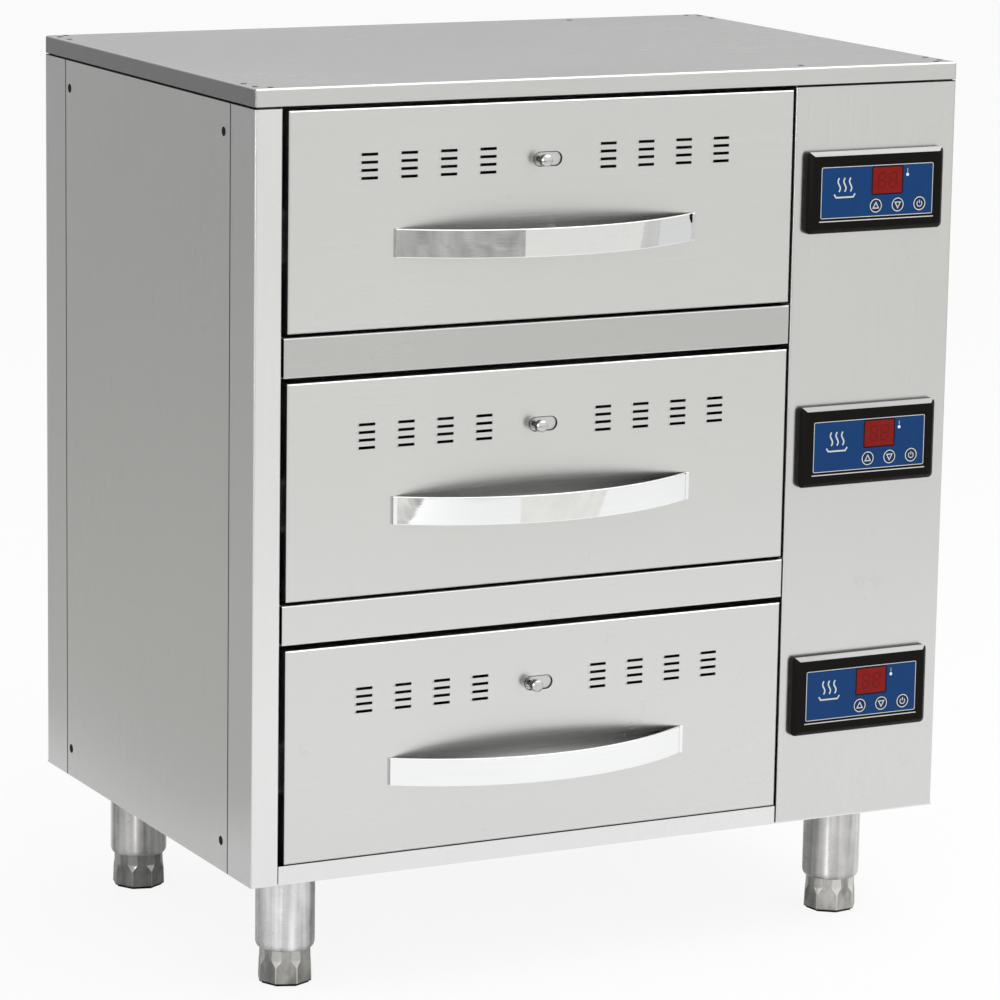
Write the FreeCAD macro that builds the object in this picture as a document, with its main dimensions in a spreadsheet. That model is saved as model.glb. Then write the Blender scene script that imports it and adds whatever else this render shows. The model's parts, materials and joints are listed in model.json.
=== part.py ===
import FreeCAD, Part

import math
import os
import re

import Sketcher
from FreeCAD import Placement, Rotation, Vector

# Three-drawer warming cabinet. X is to the right seen from the front, Y to the back, Z up. The origin
# is on the floor, in the middle of the whole outline. Every size is in millimetres.

SIZES = [
    # casing
    ("body_width", "700", "cabinet over both side walls"),
    ("body_depth", "480", "cabinet from front frame to back panel"),
    ("body_height", "700", "cabinet from base panel to top of cover"),
    ("stand_height", "110.5", "floor to base panel"),
    ("case_sheet", "1.2", "stainless sheet of the casing"),
    ("bend_radius", "2", "outer radius of a casing fold"),
    ("seam_gap", "0.5", "visible joint between two casing sheets"),
    ("cover_skirt", "16", "height of the cover's folded edge"),
    ("cover_gap", "1.2", "shadow joint under the cover's folded edge"),
    ("post_face", "26.3", "width of a corner post on the front or back"),
    ("post_side", "51", "width of a corner post on the side"),
    ("frame_fold", "20", "folds of posts and rails into the drawer openings"),
    ("lap_depth", "29", "flange of a post behind the side panel"),
    ("lap_gap", "0.3", "gap between post flange and side panel"),
    ("side_fold", "15", "top and bottom fold of a side panel"),
    ("side_hole", "8", "fixing hole in a side panel"),
    ("side_hole_front", "14", "fixing hole to the panel's front edge"),
    ("side_hole_back", "9.5", "fixing hole to the panel's back edge"),
    ("side_hole_rise", "26", "fixing hole to the panel's top or bottom edge"),
    ("bracket_width", "18", "bracket that holds the cover on a post"),
    ("bracket_drop", "30", "height of that bracket below the cover joint"),
    ("back_fold", "18", "folds round the back panel"),
    ("control_width", "169", "control fascia on the front"),
    ("sill_height", "17", "front fold of the base panel"),
    ("rail_height", "36", "cross rail between two drawers"),
    ("rail_gap", "1.9", "joint at each end of a cross rail"),
    ("rail_notch", "6", "depth of that joint"),
    ("partition_fold", "14", "folds of the partition wall"),
    ("shelf_rise", "14", "shelf above the bottom of its rail"),
    ("shelf_fold", "13", "front fold of a shelf"),
    ("shelf_clearance", "0.3", "shelf to the chamber walls"),
    # drawers
    ("drawer_pitch", "235", "from one drawer to the next"),
    ("lowest_front", "18.85", "base panel to the lowest drawer front"),
    ("front_width", "496", "drawer front"),
    ("front_height", "191.5", "drawer front"),
    ("front_depth", "20", "depth of the folded drawer front"),
    ("front_proud", "3", "drawer front ahead of the frame"),
    ("front_sheet", "1", "sheet of the drawer front"),
    ("front_bevel", "1", "bevel along the folds of the drawer front"),
    ("front_gap", "3.4", "drawer front to the rail below"),
    ("vent_length", "17.6", "vent slot"),
    ("vent_height", "2.6", "vent slot"),
    ("vent_step", "6.85", "from one row of vents to the next"),
    ("vent_pitch", "38", "from one column of vents to the next"),
    ("vent_inset", "66", "first column to the side of the front"),
    ("vent_drop", "50", "middle of the vents below the top of the front"),
    ("track_length", "28.3", "slot that the vent knob runs in"),
    ("track_height", "13.2", "slot that the vent knob runs in"),
    ("knob_drop", "51", "vent knob below the top of the front"),
    ("shutter_sheet", "1", "sheet of the vent shutter"),
    ("shutter_height", "37", "vent shutter"),
    ("shutter_margin", "4", "shutter beyond the outer vents"),
    ("shutter_gap", "0.3", "play of the shutter in its guides"),
    ("guide_foot", "9", "foot of a shutter guide"),
    ("guide_lip", "6", "lip of a shutter guide over the shutter"),
    ("knob_reach", "15", "vent knob ahead of the drawer front"),
    ("knob_head", "11", "diameter of the knob's head"),
    ("knob_head_length", "7.5", "length of the knob's head"),
    ("knob_dome", "1.6", "bevel round the knob's head"),
    ("knob_square", "6", "square shank from the knob's head through the shutter"),
    ("knob_nut", "11", "square nut behind the shutter"),
    ("knob_nut_depth", "4", "square nut behind the shutter"),
    ("handle_length", "296", "bow handle over both ends"),
    ("handle_height", "25", "width of the handle's band"),
    ("handle_band", "3", "thickness of the handle's band"),
    ("handle_reach", "45", "bow ahead of the drawer front"),
    ("handle_land", "13", "flat end of the handle on the front"),
    ("handle_drop", "117.6", "middle of the handle below the top of the front"),
    ("box_sheet", "1", "sheet of the drawer box"),
    ("box_length", "400", "drawer box behind the front"),
    ("box_height", "150", "drawer box"),
    ("box_rise", "10", "drawer box above the bottom of the front"),
    ("box_rim", "8", "rim of the drawer box"),
    ("backing_gap", "0.3", "backing plate inside the folded front"),
    ("slide_thickness", "12.7", "telescopic slide"),
    ("slide_height", "45", "telescopic slide"),
    ("slide_sheet", "1.2", "steel of the slide"),
    ("slide_gap", "0.4", "running gap between slide members"),
    ("slide_length", "390", "telescopic slide when closed"),
    ("slide_setback", "24.5", "slide behind the front frame"),
    ("slide_rise", "80", "middle of the slide above the bottom of the front"),
    # heating
    ("element_width", "38", "strip heating element"),
    ("element_height", "8", "strip heating element"),
    ("element_run", "440", "element into the chamber"),
    ("element_lift", "3", "element above its shelf"),
    ("element_head", "26", "width of the element's head, which passes through the partition"),
    ("element_tail", "18", "head behind the partition"),
    ("element_collar", "5", "collar on the head, all round and along it"),
    ("saddle_length", "20", "saddle under an end of the element"),
    ("probe_bore", "6", "diameter of a temperature probe"),
    ("probe_reach", "22", "probe into the chamber"),
    ("probe_head", "14", "diameter of the probe's head"),
    ("probe_rise", "172", "probe above the bottom of the drawer front"),
    ("probe_depth", "400", "probe behind the front frame"),
    ("pass_gap", "0.3", "gap round what passes through a sheet"),
    # controls
    ("bezel_width", "144", "controller bezel"),
    ("bezel_height", "74.5", "controller bezel"),
    ("bezel_depth", "9", "controller bezel"),
    ("bezel_bevel", "4", "bevel round the bezel"),
    ("controller_pitch", "233.3", "from one controller to the next"),
    ("controller_rise", "120.2", "lowest controller above the base panel"),
    ("controller_shift", "2.1", "controller to the left of the fascia's middle"),
    ("label_width", "118.4", "overlay on the controller"),
    ("label_height", "46.8", "overlay on the controller"),
    ("label_sheet", "0.8", "overlay on the controller"),
    ("label_gap", "0.2", "overlay in its recess"),
    ("display_width", "31.7", "display window"),
    ("display_height", "24.4", "display window"),
    ("display_depth", "6", "display window"),
    ("display_side", "10.6", "display to the right of the controller's middle"),
    ("display_rise", "9.2", "display above the controller's middle"),
    ("button_radius", "6.6", "push button"),
    ("button_depth", "7", "push button"),
    ("button_gap", "0.3", "gap round a push button"),
    ("button_pitch", "23.25", "from one button to the next"),
    ("button_side", "22.2", "middle button to the right of the controller's middle"),
    ("button_drop", "13.7", "buttons below the controller's middle"),
    ("case_width", "137", "controller case"),
    ("case_height", "67", "controller case"),
    ("case_depth", "62", "controller case behind the fascia"),
    ("case_gap", "0.5", "controller case in its cut-out"),
    ("clamp_depth", "12", "mounting clamp beside the case"),
    ("clamp_width", "3", "mounting clamp beside the case"),
    ("clamp_height", "22", "mounting clamp beside the case"),
    # power
    ("gland_reach", "18", "cable gland behind the back panel"),
    ("gland_across", "24", "cable gland across its flats"),
    ("gland_bore", "11", "hole through the cable gland"),
    ("gland_thread", "16", "thread of the cable gland"),
    ("gland_nut", "6", "thickness of the gland's two hexagons"),
    ("gland_cap", "20", "diameter of the cap behind the outer hexagon"),
    ("gland_side", "60", "cable gland to the right-hand side"),
    ("gland_rise", "60", "cable gland above the base panel"),
    ("block_length", "92", "terminal block"),
    ("block_height", "22", "terminal block"),
    ("block_depth", "28", "terminal block"),
    ("block_way", "14", "one way of the terminal block"),
    ("block_slot", "7", "slot of a way"),
    ("block_slot_depth", "14", "slot of a way"),
    ("block_foot", "5.5", "terminal block below its slots"),
    ("block_rise", "40", "terminal block above the base panel"),
    ("block_back", "120", "terminal block ahead of the back panel"),
    # stand
    ("leg_diameter", "53.4", "outer diameter of a leg"),
    ("leg_side", "65.2", "leg to the side of the cabinet"),
    ("leg_front", "70.5", "leg to the front or back of the cabinet"),
    ("leg_lip", "5.5", "bevel round the leg's mouth, along the leg"),
    ("leg_bevel", "2", "bevel round the leg's mouth, across the leg"),
    ("leg_plate", "4", "top plate of a leg"),
    ("foot_visible", "32.5", "foot below the leg"),
    ("foot_neck", "46", "diameter of the foot at the leg's mouth"),
    ("foot_base", "49.2", "diameter of the foot at the floor"),
    ("foot_flats", "44.4", "across the facets at the floor"),
    ("foot_flare", "1.2", "how far a facet leans out towards its top"),
    ("foot_facet", "23", "height of a facet"),
    ("foot_ring", "6", "round end of the foot inside the leg"),
    ("foot_stem", "22", "across the flats of the foot's stem"),
    ("foot_stem_length", "34", "stem inside the leg"),
    ("foot_gap", "0.8", "foot in the leg's mouth"),
    ("pad_thickness", "2", "rubber pad under a foot"),
    ("pad_inset", "1.2", "pad inside the rim of the foot"),
]

VENT_ROWS = 4
VENT_COLUMNS = 4
BLOCK_WAYS = 6
FOOT_FACETS = 8
HEX_SIDES = 6
HOLE_SIDES = 12
ROUND_SIDES = 24
DRAWERS = ("top", "middle", "bottom")

# Places that many pieces share, as formulas in the names above.
LEFT = "-body_width/2"
FRONT = "(front_proud + handle_reach - body_depth - gland_reach)/2"
BASE = "stand_height"
WALL_TOP = "body_height - cover_skirt - cover_gap"
COVER_INSIDE = "body_height - case_sheet"
DOOR_SIDE = "body_width - control_width"
CHAMBER_LEFT = "post_face - case_sheet"
CHAMBER_RIGHT = "body_width - control_width + case_sheet"
BOX_LEFT = "post_face - case_sheet + slide_thickness"
BOX_RIGHT = "body_width - control_width + case_sheet - slide_thickness"
FRONT_LEFT = "(post_face + body_width - control_width - front_width)/2"
VENT_TRAVEL = "track_length - track_height"
FOOT_HEIGHT = "(foot_visible + foot_ring - pad_thickness)"

doc = FreeCAD.newDocument("warming_cabinet")
sheet = doc.addObject("Spreadsheet::Sheet", "sizes")
for row, (name, number, meaning) in enumerate(SIZES, start=1):
    sheet.set("A%d" % row, meaning)
    sheet.set("B%d" % row, number)
    sheet.setAlias("B%d" % row, name)
doc.recompute()
NAMES = {name for name, number, meaning in SIZES}
nodes = []


def formula(text):
    """Write the size names in a formula the way FreeCAD expressions name spreadsheet cells."""
    return re.sub(r"[a-z_]+", lambda word: ("sizes." if word.group() in NAMES else "") + word.group(), text)


def value(text):
    """Work out a formula from the spreadsheet, as a number."""
    return float(sheet.evalExpression(formula(text)))


def bind(thing, path, text):
    """Tie one property of an object to a formula."""
    thing.setExpression(path, formula(text))


def new_body(label, x, y, z, turn=0):
    """Start a piece of its own at a place given by three formulas; it is exported under its label."""
    body = doc.addObject("PartDesign::Body", label)
    body.Label = label
    body.Placement = Placement(Vector(0, 0, 0), Rotation(Vector(0, 0, 1), turn))
    for name, text in (("x", x), ("y", y), ("z", z)):
        bind(body, "Placement.Base." + name, text)
    nodes.append(body)
    return body


def origin_part(body, role):
    """Give one plane or axis of the body's own origin."""
    return [part for part in body.Origin.OriginFeatures if part.Role == role][0]


def new_sketch(body, plane, offset="0"):
    """Add a sketch on an origin plane of the body, moved along that plane's axis."""
    sketch = body.newObject("Sketcher::SketchObject", body.Label + "_sketch")
    sketch.AttachmentSupport = [(origin_part(body, plane + "_Plane"), "")]
    sketch.MapMode = "FlatFace"
    bind(sketch, "AttachmentOffset.Base.z", "-(%s)" % offset if plane == "XZ" else offset)
    return sketch


def fix_point(sketch, geometry, end, point):
    """Hold one end of a line or arc at a place given by two formulas."""
    for kind, text in zip(("DistanceX", "DistanceY"), point):
        index = sketch.addConstraint(Sketcher.Constraint(kind, -1, 1, geometry, end, value(text)))
        bind(sketch, "Constraints[%d]" % index, text)


def add_outline(sketch, corners, arcs=None):
    """Draw a closed outline through the corners; arcs gives radius and middle point by side number."""
    arcs = arcs or {}
    first = sketch.GeometryCount
    points = [Vector(value(x), value(y), 0) for x, y in corners]
    count = len(points)
    for side in range(count):
        start, end = points[side], points[(side + 1) % count]
        if side in arcs:
            radius, middle = arcs[side]
            through = Vector(value(middle[0]), value(middle[1]), 0)
            arc = Part.Arc(start, through, end)
            sketch.addGeometry(arc, False)
        else:
            sketch.addGeometry(Part.LineSegment(start, end), False)
    ends = []
    for side in range(count):
        backward = side in arcs and not near(sketch.getPoint(first + side, 1), points[side])
        ends.append((2, 1) if backward else (1, 2))
    for side in range(count):
        after = (side + 1) % count
        sketch.addConstraint(
            Sketcher.Constraint("Coincident", first + side, ends[side][1], first + after, ends[after][0])
        )
    for side, corner in enumerate(corners):
        fix_point(sketch, first + side, ends[side][0], corner)
    for side, (radius, middle) in arcs.items():
        index = sketch.addConstraint(Sketcher.Constraint("Radius", first + side, value(radius)))
        bind(sketch, "Constraints[%d]" % index, radius)
    return sketch


def near(first, second):
    """Tell whether two points lie together."""
    return first.distanceToPoint(second) < 1e-6


def outline(body, plane, corners, offset="0", arcs=None):
    """Sketch one closed outline of straight sides, and of arcs where they are given."""
    return add_outline(new_sketch(body, plane, offset), corners, arcs)


def corners_of(x0, y0, x1, y1):
    """Give the four corners of a rectangle."""
    return [(x0, y0), (x1, y0), (x1, y1), (x0, y1)]


def about(x, y, width, height):
    """Give two opposite corners of a rectangle about its middle."""
    across, up = "(%s)/2" % width, "(%s)/2" % height
    return [x + " - " + across, y + " - " + up, x + " + " + across, y + " + " + up]


def rectangle(body, plane, x0, y0, x1, y1, offset="0"):
    """Sketch one rectangle."""
    return outline(body, plane, corners_of(x0, y0, x1, y1), offset)


def circles(body, plane, places, radius, offset="0"):
    """Sketch circles of one radius."""
    sketch = new_sketch(body, plane, offset)
    for x, y in places:
        centre = Vector(value(x), value(y), 0)
        index = sketch.addGeometry(Part.Circle(centre, Vector(0, 0, 1), value(radius)), False)
        fix_point(sketch, index, 3, (x, y))
        size = sketch.addConstraint(Sketcher.Constraint("Radius", index, value(radius)))
        bind(sketch, "Constraints[%d]" % size, radius)
    return sketch


def obround(body, plane, x, y, length, height):
    """Sketch a slot with round ends about its middle: two half circles and the two lines tangent to them."""
    sketch = new_sketch(body, plane)
    reach, radius = "(%s - %s)/2" % (length, height), "%s/2" % height
    middle, half, size = Vector(value(x), value(y), 0), value(reach), value(radius)
    right = Part.Circle(middle + Vector(half, 0, 0), Vector(0, 0, 1), size)
    left = Part.Circle(middle - Vector(half, 0, 0), Vector(0, 0, 1), size)
    sketch.addGeometry(Part.ArcOfCircle(right, -math.pi / 2, math.pi / 2), False)
    sketch.addGeometry(Part.ArcOfCircle(left, math.pi / 2, 3 * math.pi / 2), False)
    top = (middle + Vector(half, size, 0), middle + Vector(-half, size, 0))
    low = (middle + Vector(-half, -size, 0), middle + Vector(half, -size, 0))
    sketch.addGeometry(Part.LineSegment(*top), False)
    sketch.addGeometry(Part.LineSegment(*low), False)
    for joint in ((0, 2, 2, 1), (2, 2, 1, 1), (1, 2, 3, 1), (3, 2, 0, 1)):
        sketch.addConstraint(Sketcher.Constraint("Tangent", *joint))
    sketch.addConstraint(Sketcher.Constraint("Equal", 0, 1))
    fix_point(sketch, 0, 3, ("%s + %s" % (x, reach), y))
    fix_point(sketch, 1, 3, ("%s - %s" % (x, reach), y))
    index = sketch.addConstraint(Sketcher.Constraint("Radius", 0, size))
    bind(sketch, "Constraints[%d]" % index, radius)
    return sketch


def polygons(body, plane, places, across, sides, offset="0"):
    """Sketch regular polygons about their middles by the distance across their flats."""
    sketch = new_sketch(body, plane, offset)
    corner = "(%s)/2/cos(%s)" % (across, 180 / sides)
    for x, y in places:
        corners = []
        for k in range(sides):
            angle = (k + 0.5) * 360 / sides
            corners.append(("%s + %s*cos(%s)" % (x, corner, angle), "%s + %s*sin(%s)" % (y, corner, angle)))
        add_outline(sketch, corners)
    return sketch


def extrude(kind, body, sketch, length, forward):
    """Add a Pad or Pocket of a sketch, along or against the axis of its plane."""
    feature = body.newObject("PartDesign::" + kind, "%s_%s_step" % (body.Label, kind.lower()))
    feature.Profile = sketch
    flipped = "XZ" in sketch.AttachmentSupport[0][0].Name
    along_normal = forward != flipped
    feature.Reversed = along_normal == (kind == "Pocket")
    bind(feature, "Length", length)
    body.Tip = feature
    doc.recompute()
    return feature


def pad(body, sketch, length, forward=True):
    """Add material on one side of a sketch."""
    return extrude("Pad", body, sketch, length, forward)


def pocket(body, sketch, length, forward=True):
    """Cut material away on one side of a sketch, and make sure that something was cut."""
    before = body.Shape.Volume
    feature = extrude("Pocket", body, sketch, length, forward)
    if body.Shape.Volume >= before:
        raise RuntimeError("nothing cut from " + body.Label)
    return feature


def pattern(body, feature, axis, step, count, backward=False):
    """Repeat the last feature along X, Y or Z."""
    copies = body.newObject("PartDesign::LinearPattern", body.Label + "_pattern")
    copies.Originals = [feature]
    copies.Direction = (origin_part(body, axis + "_Axis"), [""])
    copies.Reversed = backward
    copies.Mode = "Spacing"
    bind(copies, "Offset", step)
    copies.Occurrences = count
    body.Tip = copies
    doc.recompute()
    return copies


def turned_pattern(body, feature, axis, count):
    """Repeat the last feature round X, Y or Z."""
    copies = body.newObject("PartDesign::PolarPattern", body.Label + "_pattern")
    copies.Originals = [feature]
    copies.Axis = (origin_part(body, axis + "_Axis"), [""])
    copies.Angle = 360
    copies.Occurrences = count
    body.Tip = copies
    doc.recompute()
    return copies


def revolve(body, corners, plane="XZ", axis="Z", arcs=None):
    """Turn an outline about an axis of the body."""
    feature = body.newObject("PartDesign::Revolution", body.Label + "_turned")
    feature.Profile = outline(body, plane, corners, arcs=arcs)
    feature.ReferenceAxis = (origin_part(body, axis + "_Axis"), [""])
    feature.Angle = 360
    body.Tip = feature
    doc.recompute()
    return feature


def edges_at(shape, axis, corners):
    """Name the straight edges that run along an axis through the given corners of the cross-section."""
    across = [index for index in range(3) if index != "XYZ".index(axis)]
    wanted = [[value(text) for text in corner] for corner in corners]
    names = []
    for number, edge in enumerate(shape.Edges, start=1):
        ends = [vertex.Point for vertex in edge.Vertexes]
        if len(ends) != 2:
            continue
        for corner in wanted:
            if all(abs(end[across[k]] - corner[k]) < 1e-4 for end in ends for k in range(2)):
                names.append("Edge%d" % number)
    return names


def edges_before(shape, depth):
    """Name the edges that lie in front of a plane across the Y axis, or in it."""
    limit = value(depth) + 1e-4
    return ["Edge%d" % number for number, edge in enumerate(shape.Edges, start=1) if edge.BoundBox.YMax < limit]


def dress(kind, body, size, names):
    """Put a fillet or chamfer on named edges of the body."""
    base = body.Tip
    feature = body.newObject("PartDesign::" + kind, "%s_%s_step" % (body.Label, kind.lower()))
    feature.Base = (base, names)
    bind(feature, "Radius" if kind == "Fillet" else "Size", size)
    body.Tip = feature
    doc.recompute()
    return feature


def fillet(body, radius, axis, corners):
    """Round the straight edges that run along an axis through the given corners."""
    return dress("Fillet", body, radius, edges_at(body.Tip.Shape, axis, corners))


def hollow(body, wall, direction):
    """Shell the body inwards and open the face that looks furthest along a direction."""
    base = body.Tip
    faces = base.Shape.Faces
    heights = [face.CenterOfMass.dot(direction) if flat_along(face, direction) else -math.inf for face in faces]
    feature = body.newObject("PartDesign::Thickness", body.Label + "_shell")
    feature.Base = (base, ["Face%d" % (heights.index(max(heights)) + 1)])
    feature.Reversed = True
    bind(feature, "Value", wall)
    body.Tip = feature
    doc.recompute()
    return feature


def flat_along(face, direction):
    """Tell whether a face is flat and looks along a direction."""
    return face.Surface.TypeId == "Part::GeomPlane" and face.normalAt(0, 0).dot(direction) > 1 - 1e-6


def front_bottom(drawer):
    """Give the height of a drawer front's lower edge above the base panel."""
    return "lowest_front + %d*drawer_pitch" % (len(DRAWERS) - 1 - drawer)


# --- casing -------------------------------------------------------------------------------------------


def make_top_cover():
    """Fold the cover: a tray turned upside down."""
    body = new_body("top_cover", LEFT, FRONT, "%s + body_height - cover_skirt" % BASE)
    pad(body, rectangle(body, "XY", "0", "0", "body_width", "body_depth"), "cover_skirt")
    hollow(body, "case_sheet", Vector(0, 0, -1))
    top = "cover_skirt"
    fillet(body, "bend_radius", "X", [("0", top), ("body_depth", top)])
    fillet(body, "bend_radius", "Y", [("0", top), ("body_width", top)])


def post_section(face):
    """Outline a corner post from above: front face, inner fold, side and the lap behind the side panel."""
    lap = "case_sheet + lap_gap"
    return [
        (face, "frame_fold"),
        (face, "0"),
        ("0", "0"),
        ("0", "post_side"),
        (lap, "post_side"),
        (lap, "post_side + lap_depth"),
        (lap + " + case_sheet", "post_side + lap_depth"),
        (lap + " + case_sheet", "post_side - case_sheet"),
        ("case_sheet", "post_side - case_sheet"),
        ("case_sheet", "case_sheet"),
        (face + " - case_sheet", "case_sheet"),
        (face + " - case_sheet", "frame_fold"),
    ]


def flipped(corners, across=None, along=None):
    """Mirror an outline inside a width, a depth or both."""
    mirrored = []
    for x, y in corners:
        mirrored.append(
            ("%s - (%s)" % (across, x) if across else x, "%s - (%s)" % (along, y) if along else y)
        )
    return mirrored


def add_post(body, face, across=None, along=None):
    """Fold one corner post, with the bracket at its top that the cover is screwed to."""
    height = "%s - case_sheet" % WALL_TOP
    section = flipped(post_section(face), across, along)
    pad(body, outline(body, "XY", section), height)
    outer = flipped([("0", "0"), (face, "0")], across, along)
    fillet(body, "bend_radius", "Z", outer)
    top = "%s - case_sheet" % COVER_INSIDE
    low = "%s - bracket_drop" % height
    bracket = [
        ("case_sheet", low),
        ("2*case_sheet", low),
        ("2*case_sheet", top + " - case_sheet"),
        ("case_sheet + bracket_width", top + " - case_sheet"),
        ("case_sheet + bracket_width", top),
        ("case_sheet", top),
    ]
    if along:
        bracket = [("%s - (%s)" % (along, y), z) for y, z in bracket]
    start = "(post_face - bracket_width)/2"
    if across:
        start = "%s - (%s) - bracket_width" % (across, start)
    pad(body, outline(body, "YZ", bracket, start), "bracket_width")


def make_posts():
    """Fold the front left post and the two rear posts, which stand on the base panel."""
    body = new_body("front_left_post", LEFT, FRONT, BASE + " + case_sheet")
    add_post(body, "post_face")
    body = new_body("rear_posts", LEFT, FRONT, BASE + " + case_sheet")
    add_post(body, "post_face", along="body_depth")
    add_post(body, "post_face", across="body_width", along="body_depth")


def controller_middle(index):
    """Give the height of a controller's middle above the base panel, the lowest first."""
    return "controller_rise + %d*controller_pitch" % index


def make_control_fascia():
    """Fold the control fascia, which is the front right post too, with a cut-out for each controller."""
    body = new_body("control_fascia", LEFT, FRONT, BASE + " + case_sheet")
    add_post(body, "control_width", across="body_width")
    middle = "%s + control_width/2 - controller_shift" % DOOR_SIDE
    half = "(case_width/2 + case_gap)"
    low = "controller_rise - case_height/2 - case_gap - case_sheet"
    sides = ["%s - %s" % (middle, half), "%s + %s" % (middle, half)]
    high = low + " + case_height + 2*case_gap"
    window = rectangle(body, "XZ", sides[0], low, sides[1], high)
    cut = pocket(body, window, "2*case_sheet")
    pattern(body, cut, "Z", "controller_pitch", len(DRAWERS))


def make_side_panel(label, right):
    """Fold a side panel, with its four fixing holes, between a front and a rear post."""
    body = new_body(label, LEFT, FRONT, BASE + " + case_sheet")
    height = "(%s - case_sheet)" % WALL_TOP
    start = "(post_side + seam_gap)"
    end = "(body_depth - post_side - seam_gap)"
    outer = "body_width - case_sheet" if right else "0"
    pad(body, rectangle(body, "YZ", start, "0", end, height, outer), "case_sheet")
    lap = "(post_side + lap_depth + seam_gap)"
    fold_from = "body_width - side_fold" if right else "0"
    for low, high in (("0", "case_sheet"), (height + " - case_sheet", height)):
        fold = rectangle(body, "YZ", lap, low, "body_depth - " + lap, high, fold_from)
        pad(body, fold, "side_fold")
    places = []
    for y in (start + " + side_hole_front", end + " - side_hole_back"):
        places.append((y, "side_hole_rise"))
        places.append((y, height + " - side_hole_rise"))
    pocket(body, polygons(body, "YZ", places, "side_hole", HOLE_SIDES, outer), "case_sheet")


def make_back_panel():
    """Fold the back panel between the rear posts, with the hole for the cable gland."""
    body = new_body("back_panel", LEFT, FRONT, BASE + " + case_sheet")
    x0, x1 = "post_face + seam_gap", "body_width - post_face - seam_gap"
    back = "body_depth - back_fold"
    section = [
        (x0, back),
        (x0 + " + case_sheet", back),
        (x0 + " + case_sheet", "body_depth - case_sheet"),
        (x1 + " - case_sheet", "body_depth - case_sheet"),
        (x1 + " - case_sheet", back),
        (x1, back),
        (x1, "body_depth"),
        (x0, "body_depth"),
    ]
    pad(body, outline(body, "XY", section), "%s - case_sheet" % WALL_TOP)
    middle = [("body_width - gland_side", "gland_rise - case_sheet")]
    hole = polygons(body, "XZ", middle, "gland_thread + 2*pass_gap", HOLE_SIDES, back)
    pocket(body, hole, "2*back_fold")


def make_base_panel():
    """Fold the base panel: the floor of the cabinet with the sill under the lowest drawer."""
    body = new_body("base_panel", LEFT, FRONT, BASE)
    pad(body, rectangle(body, "XY", "0", "0", "body_width", "body_depth"), "case_sheet")
    sill_right = "%s - rail_gap" % DOOR_SIDE
    pad(body, rectangle(body, "XY", "post_face", "0", sill_right, "case_sheet"), "sill_height")


def make_mid_front_rails():
    """Fold the two cross rails; the joint at each end is a notch, and their folds reach the posts."""
    bottom = "%s + %s - front_gap - rail_height" % (BASE, front_bottom(1))
    body = new_body("mid_front_rails", LEFT + " + post_face", FRONT, bottom)
    width = "(%s - post_face)" % DOOR_SIDE
    for rail in range(len(DRAWERS) - 1):
        low = "%d*drawer_pitch" % rail
        high = low + " + rail_height"
        section = [
            ("0", low),
            ("frame_fold", low),
            ("frame_fold", low + " + case_sheet"),
            ("case_sheet", low + " + case_sheet"),
            ("case_sheet", high + " - case_sheet"),
            ("frame_fold", high + " - case_sheet"),
            ("frame_fold", high),
            ("0", high),
        ]
        pad(body, outline(body, "YZ", section), width)
        fillet(body, "bend_radius", "X", [("0", low), ("0", high)])
        for x0, x1 in (("0", "rail_gap"), (width + " - rail_gap", width)):
            notch = rectangle(body, "XY", x0, "0", x1, "rail_notch", low)
            pocket(body, notch, "rail_height")


def make_partition_wall():
    """Fold the wall between the drawers and the controls, with holes for elements and probes."""
    body = new_body("partition_wall", "%s + %s" % (LEFT, CHAMBER_RIGHT), FRONT, BASE + " + case_sheet")
    height = "%s - 2*case_sheet" % COVER_INSIDE
    front, back = "(bend_radius + case_sheet)", "(body_depth - case_sheet)"
    web = [
        ("0", front),
        ("case_sheet", front),
        ("case_sheet", back + " - case_sheet"),
        ("partition_fold", back + " - case_sheet"),
        ("partition_fold", back),
        ("0", back),
    ]
    pad(body, outline(body, "XY", web), height)
    probe_holes = []
    for drawer in range(len(DRAWERS)):
        middle = "%s + element_lift + element_height/2 - case_sheet" % shelf_top(drawer)
        hole = about("body_depth/2", middle, "element_head + 2*pass_gap", "element_height + 2*pass_gap")
        pocket(body, rectangle(body, "YZ", *hole), "case_sheet")
        probe_holes.append(("probe_depth", "%s + probe_rise - case_sheet" % front_bottom(drawer)))
    pocket(body, polygons(body, "YZ", probe_holes, "probe_bore + 2*pass_gap", HOLE_SIDES), "case_sheet")


def shelf_top(drawer):
    """Give the height of the surface under a drawer above the base panel's underside."""
    if drawer == len(DRAWERS) - 1:
        return "case_sheet"
    return "%s - front_gap - rail_height + shelf_rise" % front_bottom(drawer)


def make_left_liner():
    """Cut the inner wall of the drawer chamber, which stands between the left-hand posts."""
    outer = "%s + %s - case_sheet" % (LEFT, CHAMBER_LEFT)
    body = new_body("left_liner", outer, FRONT, BASE + " + case_sheet")
    front = "bend_radius + case_sheet"
    section = rectangle(body, "XY", "0", front, "case_sheet", "body_depth - (%s)" % front)
    pad(body, section, "%s - 2*case_sheet" % COVER_INSIDE)


def make_chamber_shelves():
    """Fold the two shelves that part the drawer chambers and carry the upper elements."""
    x0, x1 = CHAMBER_LEFT + " + shelf_clearance", CHAMBER_RIGHT + " - shelf_clearance"
    body = new_body("chamber_shelves", LEFT, FRONT, "%s + %s" % (BASE, shelf_top(1)))
    for shelf in range(len(DRAWERS) - 1):
        top = "%d*drawer_pitch" % shelf
        low = "%s - shelf_fold" % top
        back = "body_depth - frame_fold"
        section = [
            ("frame_fold", low),
            ("frame_fold + case_sheet", low),
            ("frame_fold + case_sheet", top + " - case_sheet"),
            (back + " - case_sheet", top + " - case_sheet"),
            (back + " - case_sheet", low),
            (back, low),
            (back, top),
            ("frame_fold", top),
        ]
        pad(body, outline(body, "YZ", section, x0), "%s - (%s)" % (x1, x0))


# --- drawers ------------------------------------------------------------------------------------------


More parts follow.
